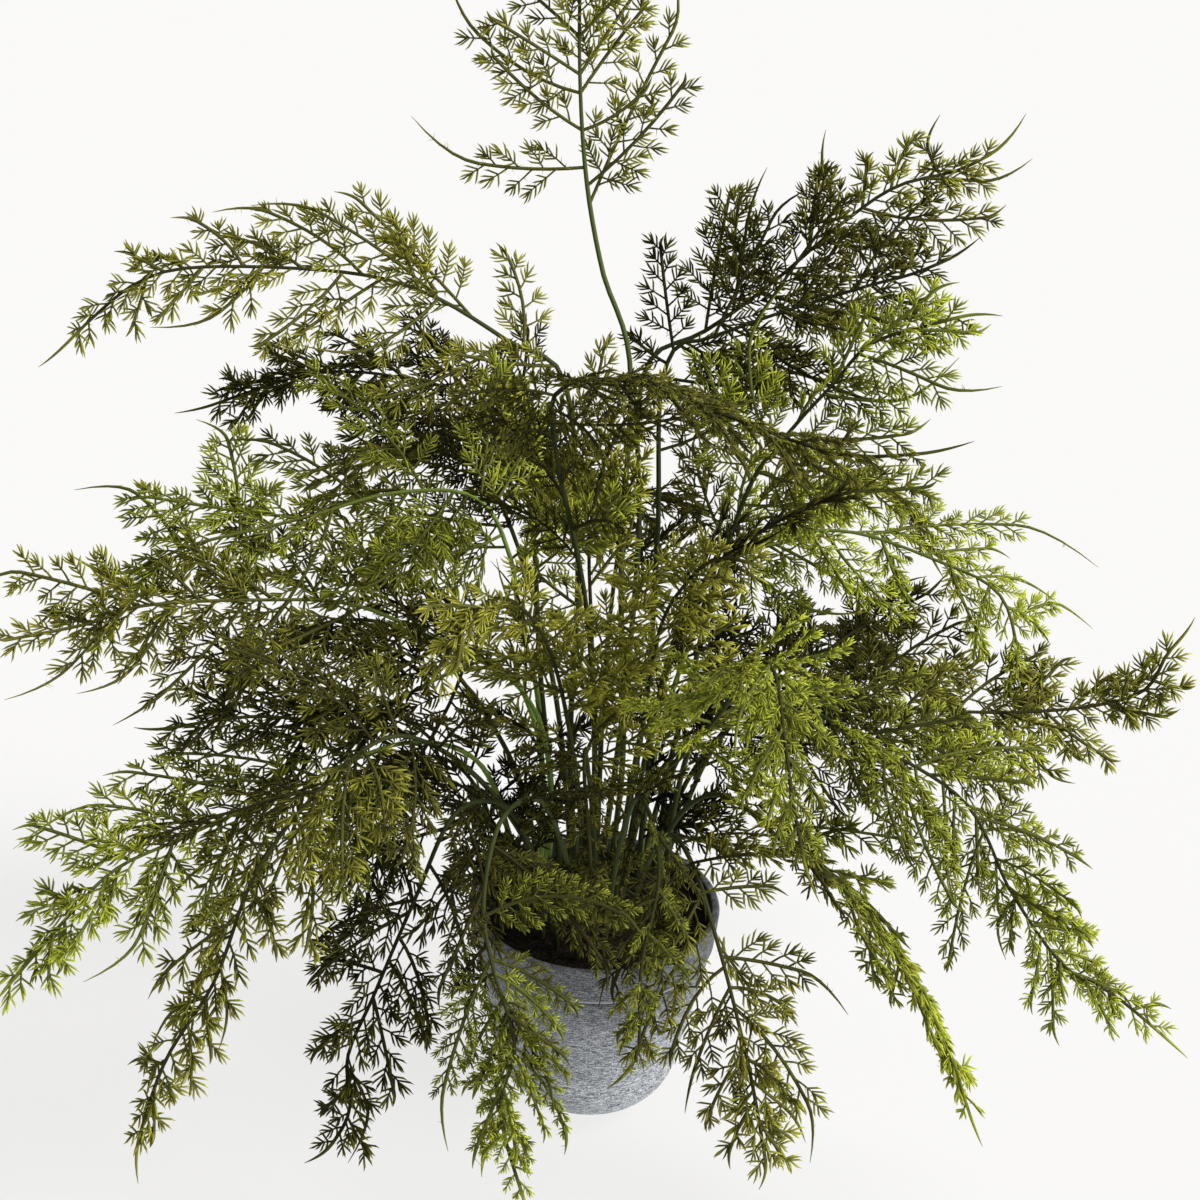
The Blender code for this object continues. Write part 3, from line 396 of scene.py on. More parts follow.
def placed(pinna, degrees, scale):
    """The pinna turned about the rachis and shortened."""
    return pinna._replace(
        out=turned_about(pinna.out, pinna.axis, degrees),
        bend=turned_about(pinna.bend, pinna.axis, degrees),
        normal=turned_about(pinna.normal, pinna.axis, degrees),
        length=pinna.length * scale, tail=pinna.tail * scale)


# What the finer fronds add, lengths in metres. First their stems, ribs and bare tails
FINE_SPINE = np.linspace(0, 1, 61)
SPINE_MARGIN = 0.005
FOOT_LIFT = 0.001
STEM_SIDES = 6
RIB_SIDES = 4
RIB_STEPS = 7
RIB_RADIUS = 0.00078
RIB_BOW = 0.065
TAIL_STEPS = 6
TAIL_RADIUS = 0.00080
TAIL_TAPER = 2.2
TAIL_HOOK = (0.3, 0.9)
TAIL_TWIST = 0.3
POINT_RADIUS = 0.00010
RACHIS_HOOK = (0.15, 0.45)
HOOK_LIFT = 0.8
HOOK_SEED = 100
CLEAR_TAIL = 0.0035

# Shorter pinnae that fill a frond, and the low ones that hide a stem's foot
FILL_LENGTHS = (0.5, 0.9)
FILL_LEANS = (42, 72)
FILL_SAG = 0.06
SKIRT_PLACES = (0.07, 0.30)
SKIRT_SCALE = 0.62
SKIRT_SPREAD = 60

# How near a packed pinna's tip has to be, and the room round the pot and over the floor
FIND_DISTANCE = 0.0009
CLEAR_SHARES = (0.25, 0.5, 0.75, 1)
POT_ROOM = 0.0025
FLOOR_ROOM = 0.0045
LOWEST = 0.0012

# Pinnules on the ribs, and short ones straight on the outer rachis
PINNULE_GAP = 0.0036
PINNULE_LONGEST = 0.0200
PINNULE_SHORTEST = 0.0030
PINNULE_SHARE = 0.36
PINNULES_FROM = 0.012
PINNULE_SWELL = (0.7, 2)
PINNULE_FADE = (0.1, 0.6)
PINNULE_SPREAD = (0.75, 1.1)
PINNULE_LEANS = (62, 38)
PINNULE_JITTER = 6
PINNULE_SCATTER = 0.26
PINNULE_BEND = 0.16
PINNULE_SAG = np.array((0, 0, 0.10))
RACHIS_FROM = 0.55
RACHIS_GAP = 0.0042
RACHIS_PINNULE = (0.0115, 0.0050)
RACHIS_SPREAD = (0.8, 1.15)
RACHIS_LEANS = (34, 58)
RACHIS_SCATTER = 0.3
RACHIS_STRAY = (0.2, 0.8)
RACHIS_SAG = np.array((0, 0, 0.08))

# Needles in pairs, two pairs a tuft, with a fan of three at the pinnule's end
CORE_SHARES = np.linspace(0, 1, 3)[:, None]
CORE_RADII = (0.00058, 0.00050, 0.00030)
CORE_SIDES = 3
LAST_PAIR = 0.0010
TUFT_GAP = 0.0045
TUFT_SPREAD = (0.85, 1.15)
PAIR_GAP = 0.0018
PAIR_ANGLES = (36, 46)
FAN_ANGLES = (-22, 0, 22)
BARE_ROOT = 0.0030
DEEPEST_PAIR = 0.9
NEEDLE_LENGTH = 0.0070
NEEDLE_SPREAD = (0.78, 1.12)
NEEDLE_RADII = np.array((0.00047, 0.00051))
NEEDLE_KNEE = 0.66
NEEDLE_CURVE = 14
CURVE_SPREAD = (0.5, 1.3)
NEEDLE_JITTER = 6
NEEDLE_RISE = 24
RISE_KEPT = 0.5
THINNING = 0.6
NEEDLE_FACES = ((0, 1, 4), (0, 4, 3), (1, 2, 5), (1, 5, 4), (2, 0, 3), (2, 3, 5),
                (3, 4, 6), (4, 5, 6), (5, 3, 6))

# Hairs of flock on the cores and the ribs
HAIR_GAP = 0.0025
HAIR_LENGTHS = (0.0020, 0.0044)
HAIR_RADIUS = 0.00023
HAIRS_FROM = 0.05
CORE_HAIRS_FROM = 0.1
HAIRY_TAIL = 0.7
HAIR_FACES = ((0, 1, 3), (1, 2, 3), (2, 0, 3))

# Tones along a frond, from its stem to the points of its needles
RIB_TONE, CORE_TONE, ROOT_TONE, KNEE_TONE, POINT_TONE = 0.2, 0.3, 0.4, 0.75, 1.0
HAIR_TONE = 0.9
RIB_TAIL_TONE = 0.35
TAIL_TONE = 0.30
TONE_RUN = 0.3

# How far tints stray, from pinna to pinna, pinnule to pinnule and needle to needle. A tint
# below nought keeps the dark colours and lowers the tones of the needles too, as painted shade
TINT_SPREAD = 0.17
PINNULE_TINT_SPREAD = 0.08
NEEDLE_TINT_SPREAD = 0.15
DEEPEST = -0.6
DEEP_SHADE = 0.85
TAIL_PALEST = 0.45
TAIL_TINT_RUN = 0.03

# The map has tone across and tint up, each corner a little apart from its neighbours
MAP_SPREAD = 0.012
MAP_MARGIN = 0.02


def linked(name, data):
    """A new object in the scene."""
    thing = bpy.data.objects.new(name, data)
    bpy.context.scene.collection.objects.link(thing)
    return thing


def columns(rows, join=np.array):
    """The rows' columns, each as one array."""
    return [join(column) for column in zip(*rows)]


def spokes(along, side, count):
    """The turns of spokes round each direction, and the spokes, the first along side."""
    turn = np.arange(count) * (math.tau / count)
    side, up = side[..., None, :], np.cross(along, side)[..., None, :]
    return turn, np.cos(turn)[:, None] * side + np.sin(turn)[:, None] * up


def spike_spokes(ways):
    """Three spokes round each of these directions."""
    least = np.eye(3)[np.argmin(abs(ways), axis=1)]
    return spokes(ways, unit_rows(np.cross(ways, least)), 3)


class Growth:
    """The points, triangles and tones of one frond, gathered piece by piece."""

    def __init__(self, scales):
        self.pinnule_scale, gap_scale, self.needle_scale = scales
        self.pinnule_gap = PINNULE_GAP * gap_scale
        self.points, self.faces, self.tones, self.tints, self.maps = [], [], [], [], []
        self.count = 0
        self.rib_rows, self.core_rows, self.needle_rows, self.hair_rows = [], [], [], []

    def add(self, points, faces, tones, tints, turn):
        """Adds points and triangles. A corner's place on the map is its tone and its tint."""
        tones = np.broadcast_to(tones, points.shape[:-1])
        tints = np.clip(np.broadcast_to(tints, points.shape[:-1]), 0, 1)
        spread = np.stack([tones + MAP_SPREAD * np.cos(turn), tints + MAP_SPREAD * np.sin(turn)],
                          axis=-1)
        self.points.append(points.reshape(-1, 3))
        self.faces.append(faces.reshape(-1, 3) + self.count)
        self.tones.append(tones.reshape(-1))
        self.tints.append(tints.reshape(-1))
        inside = np.clip(spread.reshape(-1, 2), 0, 1)
        self.maps.append(inside * (1 - 2 * MAP_MARGIN) + MAP_MARGIN)
        self.count += points.size // 3

    def tubes(self, lines, radii, facing, tones, tints, sides):
        """Tubes along lines of the same number of points, turned to face one way."""
        count, steps, _ = lines.shape
        along = unit_rows(np.gradient(lines, axis=1))
        turn, ring = spokes(along, unit_rows(np.cross(along, facing[:, None])), sides)
        index = np.arange(count * steps * sides).reshape(count, steps, sides)
        low, high = index[:, :-1], index[:, 1:]
        low_next, high_next = np.roll(low, -1, axis=2), np.roll(high, -1, axis=2)
        faces = [np.stack(corners, axis=-1).reshape(-1, 3)
                 for corners in ((low, low_next, high_next), (low, high_next, high))]
        self.add(lines[:, :, None] + radii[..., None, None] * ring, np.concatenate(faces),
                 tones[..., None], tints.reshape(count, -1, 1), turn)

    def hairs(self, roots, ways, tints):
        """Fine hairs of flock, each a three-sided spike."""
        turn, ring = spike_spokes(unit_rows(ways))
        points = [roots[:, None] + HAIR_RADIUS * ring, (roots + ways)[:, None]]
        index = np.arange(len(roots))[:, None] * 4
        self.add(np.concatenate(points, axis=1), np.stack([index + row for row in HAIR_FACES], axis=1),
                 HAIR_TONE, tints[:, None], np.append(turn, turn[0]))

    def needles(self, roots, ways, ends, lengths, tints):
        """Three-sided needles: even and bent at a knee, then drawn to a point."""
        turn, ring = spike_spokes(ways)
        knees = roots + NEEDLE_KNEE * lengths[:, None] * ways
        tips = knees + (1 - NEEDLE_KNEE) * lengths[:, None] * ends
        low, high = NEEDLE_RADII * self.needle_scale ** THINNING
        points = [roots[:, None] + low * ring, knees[:, None] + high * ring, tips[:, None]]
        index = np.arange(len(roots))[:, None] * 7
        tones = np.array([ROOT_TONE] * 3 + [KNEE_TONE] * 3 + [POINT_TONE])
        tones = tones * (1 + DEEP_SHADE * np.clip(tints, DEEPEST, 0))[:, None]
        self.add(np.concatenate(points, axis=1),
                 np.stack([index + row for row in NEEDLE_FACES], axis=1),
                 tones, tints[:, None], np.concatenate([turn, turn, turn[:1]]))

    def flock(self, roots, tint, draw):
        """Hairs that stand all ways, one at each of these places on a core or a rib."""
        count = len(roots)
        ways = unit_rows(draw.normal(0, 1, (count, 3))) * draw.uniform(*HAIR_LENGTHS, (count, 1))
        self.hair_rows.append((roots, ways, np.full(count, tint)))

    def piece(self, name, surface):
        """The whole frond as one mesh object."""
        self.tubes(*columns(self.rib_rows), RIB_SIDES)
        self.tubes(*columns(self.core_rows), CORE_SIDES)
        self.needles(*columns(self.needle_rows, np.concatenate))
        self.hairs(*columns(self.hair_rows, np.concatenate))
        points = np.concatenate(self.points)
        points[:, 2] = np.maximum(points[:, 2], LOWEST)
        corners = np.concatenate(self.faces).reshape(-1).astype(np.int32)
        mesh = bpy.data.meshes.new(name)
        mesh.vertices.add(len(points))
        mesh.vertices.foreach_set("co", points.reshape(-1))
        mesh.loops.add(len(corners))
        mesh.loops.foreach_set("vertex_index", corners)
        mesh.polygons.add(len(corners) // 3)
        mesh.polygons.foreach_set("loop_start", np.arange(0, len(corners), 3, dtype=np.int32))
        mesh.update(calc_edges=True)
        for label, values in (("tone", self.tones), ("tint", self.tints)):
            kept = mesh.attributes.new(label, "FLOAT", "POINT")
            kept.data.foreach_set("value", np.concatenate(values))
        layer = mesh.uv_layers.new(name="OFBake")
        layer.uv.foreach_set("vector", np.concatenate(self.maps)[corners].reshape(-1))
        mesh.shade_smooth()
        mesh.materials.append(surface)
        return linked(name, mesh)


def node_tree(node):
    """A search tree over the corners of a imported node."""
    corners = frame["nodes"][node].data.vertices
    tree = KDTree(len(corners))
    for index, corner in enumerate(corners):
        tree.insert(corner.co, index)
    tree.balance()
    return tree


def all_places(pinna):
    """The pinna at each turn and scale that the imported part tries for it, in order."""
    for scale in SCALES:
        for degrees in TURNS:
            yield placed(pinna, degrees, scale)


def rib_line(pinna, shares, bow=0, hook=0):
    """Points, directions and sideways directions along the rib, bowed and with its tail hooked."""
    share = np.asarray(shares, float)[:, None]
    leafy = 1 - pinna.tail / pinna.length
    late = np.clip((share - leafy) / (1 - leafy), 0, 1)
    curve = pinna.out * share + pinna.bend * share ** 2 + bow * 4 * share * (1 - share)
    curve = curve + hook * (pinna.tail / pinna.length) * late ** 2
    points = pinna.root + pinna.length * curve
    along = unit_rows(pinna.out + 2 * pinna.bend * share + bow * 4 * (1 - 2 * share))
    return points, along, unit_rows(np.cross(pinna.normal, along))


def as_packed(pinna, tree):
    """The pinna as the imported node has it, found by its tip, or None where it has none."""
    best, nearest = None, FIND_DISTANCE
    for tried in all_places(pinna):
        tip = rib_line(tried, [1])[0][0]
        distance = tree.find(Vector(tip))[2]
        if distance < nearest:
            best, nearest = tried, distance
    return best


def pinnule_length(pinna, share):
    """A pinnule's length: short at the rib's root, longest soon after, then shorter again."""
    place = min(1, share / (1 - pinna.tail / pinna.length))
    longest = min(PINNULE_LONGEST, PINNULE_SHARE * (pinna.length - PINNULES_FROM))
    first, rate = PINNULE_SWELL
    fade_from, fade = PINNULE_FADE
    faded = 1 - fade * max(0, place - fade_from) / (1 - fade_from)
    return max(PINNULE_SHORTEST, longest * (min(1, first + rate * place) * faded))


def kept_clear(pinna):
    """The pinna's first place that clears the pot, the soil and the floor, or None."""
    for tried in all_places(pinna):
        points, _, across = rib_line(tried, CLEAR_SHARES)
        reach = [pinnule_length(tried, share) + NEEDLE_LENGTH for share in CLEAR_SHARES]
        across = across * np.array(reach)[:, None]
        spots = np.concatenate([points, points + across, points - across])
        radius, height = np.hypot(spots[:, 0], spots[:, 1]), spots[:, 2]
        in_pot = (radius < RIM_RADIUS + POT_ROOM) & (height < POT_HEIGHT + POT_ROOM)
        if not (in_pot | (height < FLOOR_ROOM)).any():
            return tried
    return None


def angled(degrees, rise, along, side, normal):
    """Directions at these angles from along towards side, lifted out of their plane."""
    return leaning(rise[:, None], leaning(degrees[:, None], along, side), normal)


def dress_pinnule(growth, start, way, bend, normal, length, tint, draw):
    """One pinnule: its core, needles in pairs along it, two pairs a tuft, and a fan at its end."""
    def core(share):
        return start + length * (way * share + bend * share ** 2)

    size = growth.needle_scale
    places, angles = [0.0] * len(FAN_ANGLES), list(FAN_ANGLES)
    tuft = LAST_PAIR
    while tuft + PAIR_GAP * size < length - BARE_ROOT * size or len(places) < 4:
        for pair, angle in enumerate(PAIR_ANGLES):
            places += [tuft + pair * PAIR_GAP * size] * 2
            angles += [angle, -angle]
        tuft += TUFT_GAP * size * draw.uniform(*TUFT_SPREAD)
    count = len(places)
    share = 1 - np.minimum(DEEPEST_PAIR, np.array(places) / length)[:, None]
    along = unit_rows(way + 2 * bend * share)
    across = unit_rows(np.cross(normal, along))
    degrees = np.array(angles) + draw.normal(0, NEEDLE_JITTER, count)
    rise = draw.uniform(-NEEDLE_RISE, NEEDLE_RISE, count)
    closing = degrees - np.sign(degrees) * NEEDLE_CURVE * draw.uniform(*CURVE_SPREAD, count)
    growth.core_rows.append((core(CORE_SHARES), CORE_RADII, normal,
                             [CORE_TONE] * len(CORE_RADII), tint))
    growth.needle_rows.append((
        core(share),
        angled(degrees, rise, along, across, normal),
        angled(closing, rise * RISE_KEPT, along, across, normal),
        NEEDLE_LENGTH * size * draw.uniform(*NEEDLE_SPREAD, count),
        np.clip(tint + draw.normal(0, NEEDLE_TINT_SPREAD, count), DEEPEST, 1)))
    share = draw.uniform(CORE_HAIRS_FROM, 1, max(2, round(length / HAIR_GAP)))[:, None]
    growth.flock(core(share), tint, draw)


def tint_of(frond, share, draw):
    """The tint: lighter further out along the frond and varying from pinna to pinna, partly the growth's
    own colour, partly painted shade near the stem's foot and painted light further out.
    """
    place = (share - frond.blade) / (1 - frond.blade)
    mean = np.interp(place, (0, 1), frond.tints)
    return np.clip(mean + draw.normal(0, TINT_SPREAD), DEEPEST, 1)


def tapered(radii, late):
    """The radii, drawn to a point over the bare tail."""
    return radii + (POINT_RADIUS - TAIL_RADIUS) * late ** TAIL_TAPER


def dress_pinna(growth, pinna, tint, draw):
    """The rib with its bare tail, and its pinnules on both sides."""
    across = unit(np.cross(pinna.normal, pinna.out))
    forward = unit(pinna.axis - np.dot(pinna.axis, pinna.out) * pinna.out)

    def stray():
        return draw.uniform(-1, 1) * across + draw.uniform(-1, 1) * pinna.normal

    bow = RIB_BOW * stray()
    hook = draw.uniform(*TAIL_HOOK) * forward + TAIL_TWIST * stray()
    leafy = 1 - pinna.tail / pinna.length
    tail = np.linspace(0, 1, TAIL_STEPS)
    late = np.append(np.zeros(RIB_STEPS - 1), tail)
    shares = np.append(np.linspace(0, leafy, RIB_STEPS)[:-1], leafy + (1 - leafy) * tail)
    radii = RIB_RADIUS + (TAIL_RADIUS - RIB_RADIUS) * np.minimum(1, shares / leafy)
    growth.rib_rows.append((rib_line(pinna, shares, bow, hook)[0], tapered(radii, late),
                            pinna.normal, RIB_TONE + late * RIB_TAIL_TONE, tint))
    hairy = leafy + HAIRY_TAIL * (1 - leafy)
    shares = draw.uniform(HAIRS_FROM, hairy, round(pinna.length / HAIR_GAP))
    growth.flock(rib_line(pinna, shares, bow, hook)[0], tint, draw)
    count = max(3, round((leafy - BARE_SHARE) * pinna.length / growth.pinnule_gap))
    shares = BARE_SHARE + (leafy - BARE_SHARE) * (np.arange(count) + 0.5) / count
    sign = draw.choice((-1, 1))
    for share, place, along, side in zip(shares, *rib_line(pinna, shares, bow, hook)):
        sign = -sign
        lean = np.interp(share / leafy, (0, 1), PINNULE_LEANS) + draw.normal(0, PINNULE_JITTER)
        way = leaning(lean, along, sign * side)
        way = unit(way + pinna.normal * draw.normal(0, PINNULE_SCATTER))
        length = growth.pinnule_scale * pinnule_length(pinna, share)
        length *= draw.uniform(*PINNULE_SPREAD)
        own = np.clip(tint + draw.normal(0, PINNULE_TINT_SPREAD), DEEPEST, 1)
        dress_pinnule(growth, place, way, PINNULE_BEND * along - PINNULE_SAG, pinna.normal,
                      length, own, draw)


def dress_nearest(growth, frond, fine, pinna, draw, longest_tail=CLEAR_TAIL):
    """Dresses a pinna that has a place, on the fine spine's point next to its root."""
    if pinna is None:
        return
    nearest = np.argmin(np.linalg.norm(fine - pinna.root, axis=1))
    pinna = pinna._replace(root=fine[nearest], tail=min(pinna.tail, longest_tail))
    dress_pinna(growth, pinna, tint_of(frond, FINE_SPINE[nearest], draw), draw)


def dress_rachis(growth, frond, fine, draw):
    """Short pinnules straight on the outer rachis, between the last pinnae and beyond them."""
    first = frond.blade + RACHIS_FROM * (TAIL_START - frond.blade)
    last = frond.leafy
    run = np.linalg.norm(np.diff(fine, axis=0), axis=1).sum()
    count = round((last - first) * run / RACHIS_GAP)
    for index in range(count):
        share = first + (last - first) * (index + draw.uniform(*RACHIS_STRAY)) / count
        root, tangent = spine_place(fine, FINE_SPINE, share)
        side, normal = side_and_normal(frond, tangent, index)
        way = leaning(draw.uniform(*RACHIS_LEANS), tangent, side)
        way = unit(way + normal * draw.normal(0, RACHIS_SCATTER))
        length = np.interp(share, (first, last), RACHIS_PINNULE) * draw.uniform(*RACHIS_SPREAD)
        dress_pinnule(growth, root, way, PINNULE_BEND * tangent - RACHIS_SAG, normal, length,
                      tint_of(frond, share, draw), draw)


def fill_places(frond, draw):
    """Places along the stem, length scales and turns of the pinnae that fill a frond."""
    _, number, first, spread = frond.full
    runs = ((number, first, TAIL_START, 1, spread),
            (frond.skirt, *SKIRT_PLACES, SKIRT_SCALE, SKIRT_SPREAD))
    for number, low, high, scale, spread in runs:
        for index in range(number):
            share = low + (high - low) * (index + draw.uniform(0, 1)) / number
            yield index, share, scale, spread


def fill_pinnae(frond, draw):
    """Shorter pinnae among the others, turned out of the frond's plane."""
    spine, shares = spine_of(frond), spine_shares(frond)
    for index, share, scale, spread in fill_places(frond, draw):
        root, tangent = spine_place(spine, shares, share)
        side, normal = side_and_normal(frond, tangent, index)
        along = max(0, (share - frond.blade) / (TAIL_START - frond.blade))
        out = leaning(draw.uniform(*FILL_LEANS), tangent, side)
        bend = FORWARD_BEND * tangent - np.array((0, 0, frond.sag + FILL_SAG))
        length = frond.longest * CM * (1 - (1 - SHORTEST_SHARE) * along)
        length *= scale * draw.uniform(*FILL_LENGTHS)
        tail = min(CLEAR_TAIL, TAIL_SHARE * length)
        pinna = Pinna(index, root, out, bend, normal, tangent, length, tail)
        yield placed(pinna, draw.normal(0, spread), 1)


def stem_tube(frond):
    """The stem and rachis as a tube's points, radii, facing, tones and tints, its tail curled."""
    leafy = frond.leafy
    shares = FINE_SPINE[FINE_SPINE < leafy - SPINE_MARGIN]
    shares = np.append(shares, np.linspace(leafy, 1, TAIL_STEPS))
    late = np.clip((shares - leafy) / (1 - leafy), 0, 1)
    line = smooth_line(knots_of(frond), shares) * CM
    draw = np.random.default_rng(frond.seed + HOOK_SEED)
    along = unit(line[-1] - line[-2])
    way = draw.normal(0, 1, 3) + np.array((0, 0, HOOK_LIFT))
    way = unit(way - np.dot(way, along) * along)
    tail = np.linalg.norm(line[-1] - line[-TAIL_STEPS])
    line = line + draw.uniform(*RACHIS_HOOK) * tail * late[:, None] ** 2 * way
    radii = np.interp(shares, (0, frond.blade, 1), (STEM_RADIUS, RACHIS_RADIUS, TIP_RADIUS))
    radii = tapered(np.maximum(radii, TAIL_RADIUS), late)
    bare = np.clip((shares - leafy) / TAIL_TINT_RUN + 1, 0, 1)
    tones = np.clip((shares - frond.blade) / TONE_RUN, 0, 1) * RIB_TONE + TAIL_TONE * bare
    tip_tint = np.clip(frond.tints[1], TAIL_PALEST, 1)
    tints = frond.stem_tint + (tip_tint - frond.stem_tint) * bare
    foot = np.array((frond.root[0] * CM, frond.root[1] * CM, HOLE_BOTTOM + FOOT_LIFT))
    return (np.vstack([foot, line]), np.append(STEM_RADIUS, radii), frond.face,
            np.append(0, tones), np.append(frond.stem_tint, tints))


def frond_piece(frond, surface):
    """The whole frond: stem, rachis, pinnae as packed and the ones between them."""
    draw = np.random.default_rng(frond.seed)
    growth = Growth(frond.scales)
    growth.tubes(*columns([stem_tube(frond)]), STEM_SIDES)
    fine = smooth_line(knots_of(frond), FINE_SPINE) * CM
    tree = node_tree(frond.name)
    for pinna in pinnae_of(frond):
        if pinna.index in frond.posed or pinna.index % KEPT_STEP == 0:
            dress_nearest(growth, frond, fine, as_packed(pinna, tree), draw, math.inf)
        elif draw.uniform() < frond.full[0]:
            dress_nearest(growth, frond, fine, kept_clear(pinna), draw)
    for pinna in fill_pinnae(frond, draw):
        dress_nearest(growth, frond, fine, kept_clear(pinna), draw)
    dress_rachis(growth, frond, fine, draw)
    return growth.piece(frond.name + "_fine", surface)


def new_material(name, values):
    """A material, with its shader's sockets set to these values."""
    made = bpy.data.materials.new(name)
    made.use_nodes = True
    shader = made.node_tree.nodes["Principled BSDF"]
    for key, value in values.items():
        shader.inputs[key].default_value = value
    return made, made.node_tree, shader


def node_of(tree, kind, output, inputs, **settings):
    """A new node's output, with each of the node's inputs linked to a socket or set."""
    node = tree.nodes.new("ShaderNode" + kind)
    for key, value in settings.items():
        setattr(node, key, value)
    for key, value in inputs.items():
        if isinstance(value, bpy.types.NodeSocket):
            tree.links.new(value, node.inputs[key])
        else:
            node.inputs[key].default_value = value
    return node.outputs[output]


def ramp(tree, source, stops):
    """A colour ramp over a value, with (place, colour) stops. A colour may be one grey value."""
    node = tree.nodes.new("ShaderNodeValToRGB")
    elements = node.color_ramp.elements
    while len(elements) < len(stops):
        elements.new(0.5)
    for element, (place, color) in zip(elements, stops):
        element.position = place
        element.color = (*color, 1) if isinstance(color, tuple) else (color, color, color, 1)
    tree.links.new(source, node.inputs["Fac"])
    return node.outputs["Color"]


def place_of(tree):
    """Object coordinates."""
    return node_of(tree, "TexCoord", "Object", {})


def noise_of(tree, scale, detail, roughness):
    """Noise of this many grains a metre along each axis."""
    place = node_of(tree, "Mapping", "Vector", {"Vector": place_of(tree), "Scale": scale})
    return node_of(tree, "TexNoise", "Fac", {"Vector": place, "Scale": 1, "Detail": detail,
                                             "Roughness": roughness})


def attribute(tree, name):
    """A value that the mesh keeps at its points."""
    return node_of(tree, "Attribute", "Fac", {}, attribute_name=name)


def blended(tree, factor, low, high, kind="MIX"):
    """Two colours or sockets mixed by a factor."""
    low, high = ((*side, 1) if isinstance(side, tuple) else side for side in (low, high))
    return node_of(tree, "Mix", "Result", {"Factor": factor, "A": low, "B": high},
                   data_type="RGBA", blend_type=kind)


def bumped(tree, shader, height, strength, distance):
    normal = node_of(tree, "Bump", "Normal", {"Height": height, "Strength": strength,
                                              "Distance": distance})
    tree.links.new(normal, shader.inputs["Normal"])


TONE_STOPS = (0, 0.2, 0.4, 1)
FLOCK_GRAINS = (1300, 1300, 1300)


def foliage(name, dark, light):
    """Flocked foliage: tone runs from stem to needle point, tint from dark to light, the growth's own
    colour with painted shade and light in it.
    """
    made, tree, shader = new_material(name, {"Specular IOR Level": 0.06})
    tone = attribute(tree, "tone")
    low = ramp(tree, tone, list(zip(TONE_STOPS, dark)))
    high = ramp(tree, tone, list(zip(TONE_STOPS, light)))
    color = blended(tree, attribute(tree, "tint"), low, high)
    flock = ramp(tree, noise_of(tree, FLOCK_GRAINS, 2, 0.6), [(0.3, 0.72), (0.7, 1)])
    tree.links.new(blended(tree, 1.0, color, flock, "MULTIPLY"), shader.inputs["Base Color"])
    rough = ramp(tree, tone, [(0, 0.6), (0.3, 0.95), (1, 0.8)])
    tree.links.new(rough, shader.inputs["Roughness"])
    return made


# Colours at the four stops of tone: stem, rib, needle root and needle point. The yellow-green
# and dark sets are partly lit and shaded copies of the olive one, painted light and painted
# shade beside the growth's own colour
FOLIAGE = {
    "foliage": foliage(
        "olive_needles",
        ((0.052, 0.060, 0.022), (0.044, 0.041, 0.013), (0.036, 0.034, 0.010),
         (0.125, 0.121, 0.021)),
        ((0.24, 0.38, 0.080), (0.125, 0.125, 0.030), (0.165, 0.163, 0.028),
         (0.60, 0.60, 0.075))),
    "foliage_light": foliage(
        "yellow_green_needles",
        ((0.050, 0.062, 0.020), (0.040, 0.038, 0.013), (0.034, 0.032, 0.010),
         (0.105, 0.100, 0.020)),
        ((0.24, 0.36, 0.070), (0.16, 0.185, 0.034), (0.24, 0.27, 0.032),
         (0.74, 0.82, 0.085))),
    "foliage_dark": foliage(
        "dark_green_needles",
        ((0.035, 0.042, 0.015), (0.016, 0.015, 0.006), (0.013, 0.0125, 0.005),
         (0.042, 0.040, 0.009)),
        ((0.20, 0.33, 0.070), (0.056, 0.055, 0.015), (0.066, 0.065, 0.014),
         (0.25, 0.245, 0.034))),
}


# The finer pot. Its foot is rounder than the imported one
FOOT_ROUNDING = 0.0280
COLLAR_LOW = POT_HEIGHT - COLLAR_HEIGHT
COLLAR_EDGE = 0.0006
ARC_STEPS = 6
FOOT_STEPS = 16
WALL_STEPS = 14
BELLY = 0.0006
BODY_DROP = 0.0030
SHOULDER = (0.0001, 0.0030)
CREASE_DROPS = (0.0002, 0.0008, BODY_DROP)
HIDDEN_DEPTH = 0.012
HIDDEN_DRAFT = 0.0018
POT_SECTORS = 128
INNER_SHADE_DEPTH = 0.0003
INNER_SHADE_LOW = 0.004


def mesh_object(name, points, faces):
    mesh = bpy.data.meshes.new(name)
    mesh.from_pydata(points, [], faces)
    return linked(name, mesh)


def revolved(name, profile, steps):
    """A turned mesh from its section, closed on the axis where a radius is nought."""
    points, rows = [], []
    for radius, height in profile:
        if radius == 0:
            rows.append([len(points)] * steps)
            points.append((0, 0, height))
            continue
        rows.append(list(range(len(points), len(points) + steps)))
        for step in range(steps):
            turn = math.tau * step / steps
            points.append((radius * math.cos(turn), radius * math.sin(turn), height))
    faces = []
    for upper, lower in zip(rows, rows[1:]):
        for step in range(steps):
            after = (step + 1) % steps
            corners = [upper[step], lower[step], lower[after], upper[after]]
            faces.append(list(dict.fromkeys(corners)))
    thing = mesh_object(name, points, faces)
    thing.data.shade_smooth()
    return thing


def arc(center, radius, first, last, steps=ARC_STEPS):
    """Section points on an arc, its angles in degrees from straight out."""
    points = []
    for angle in np.radians(np.linspace(first, last, steps)):
        points.append((center[0] + radius * math.cos(angle), center[1] + radius * math.sin(angle)))
    return points


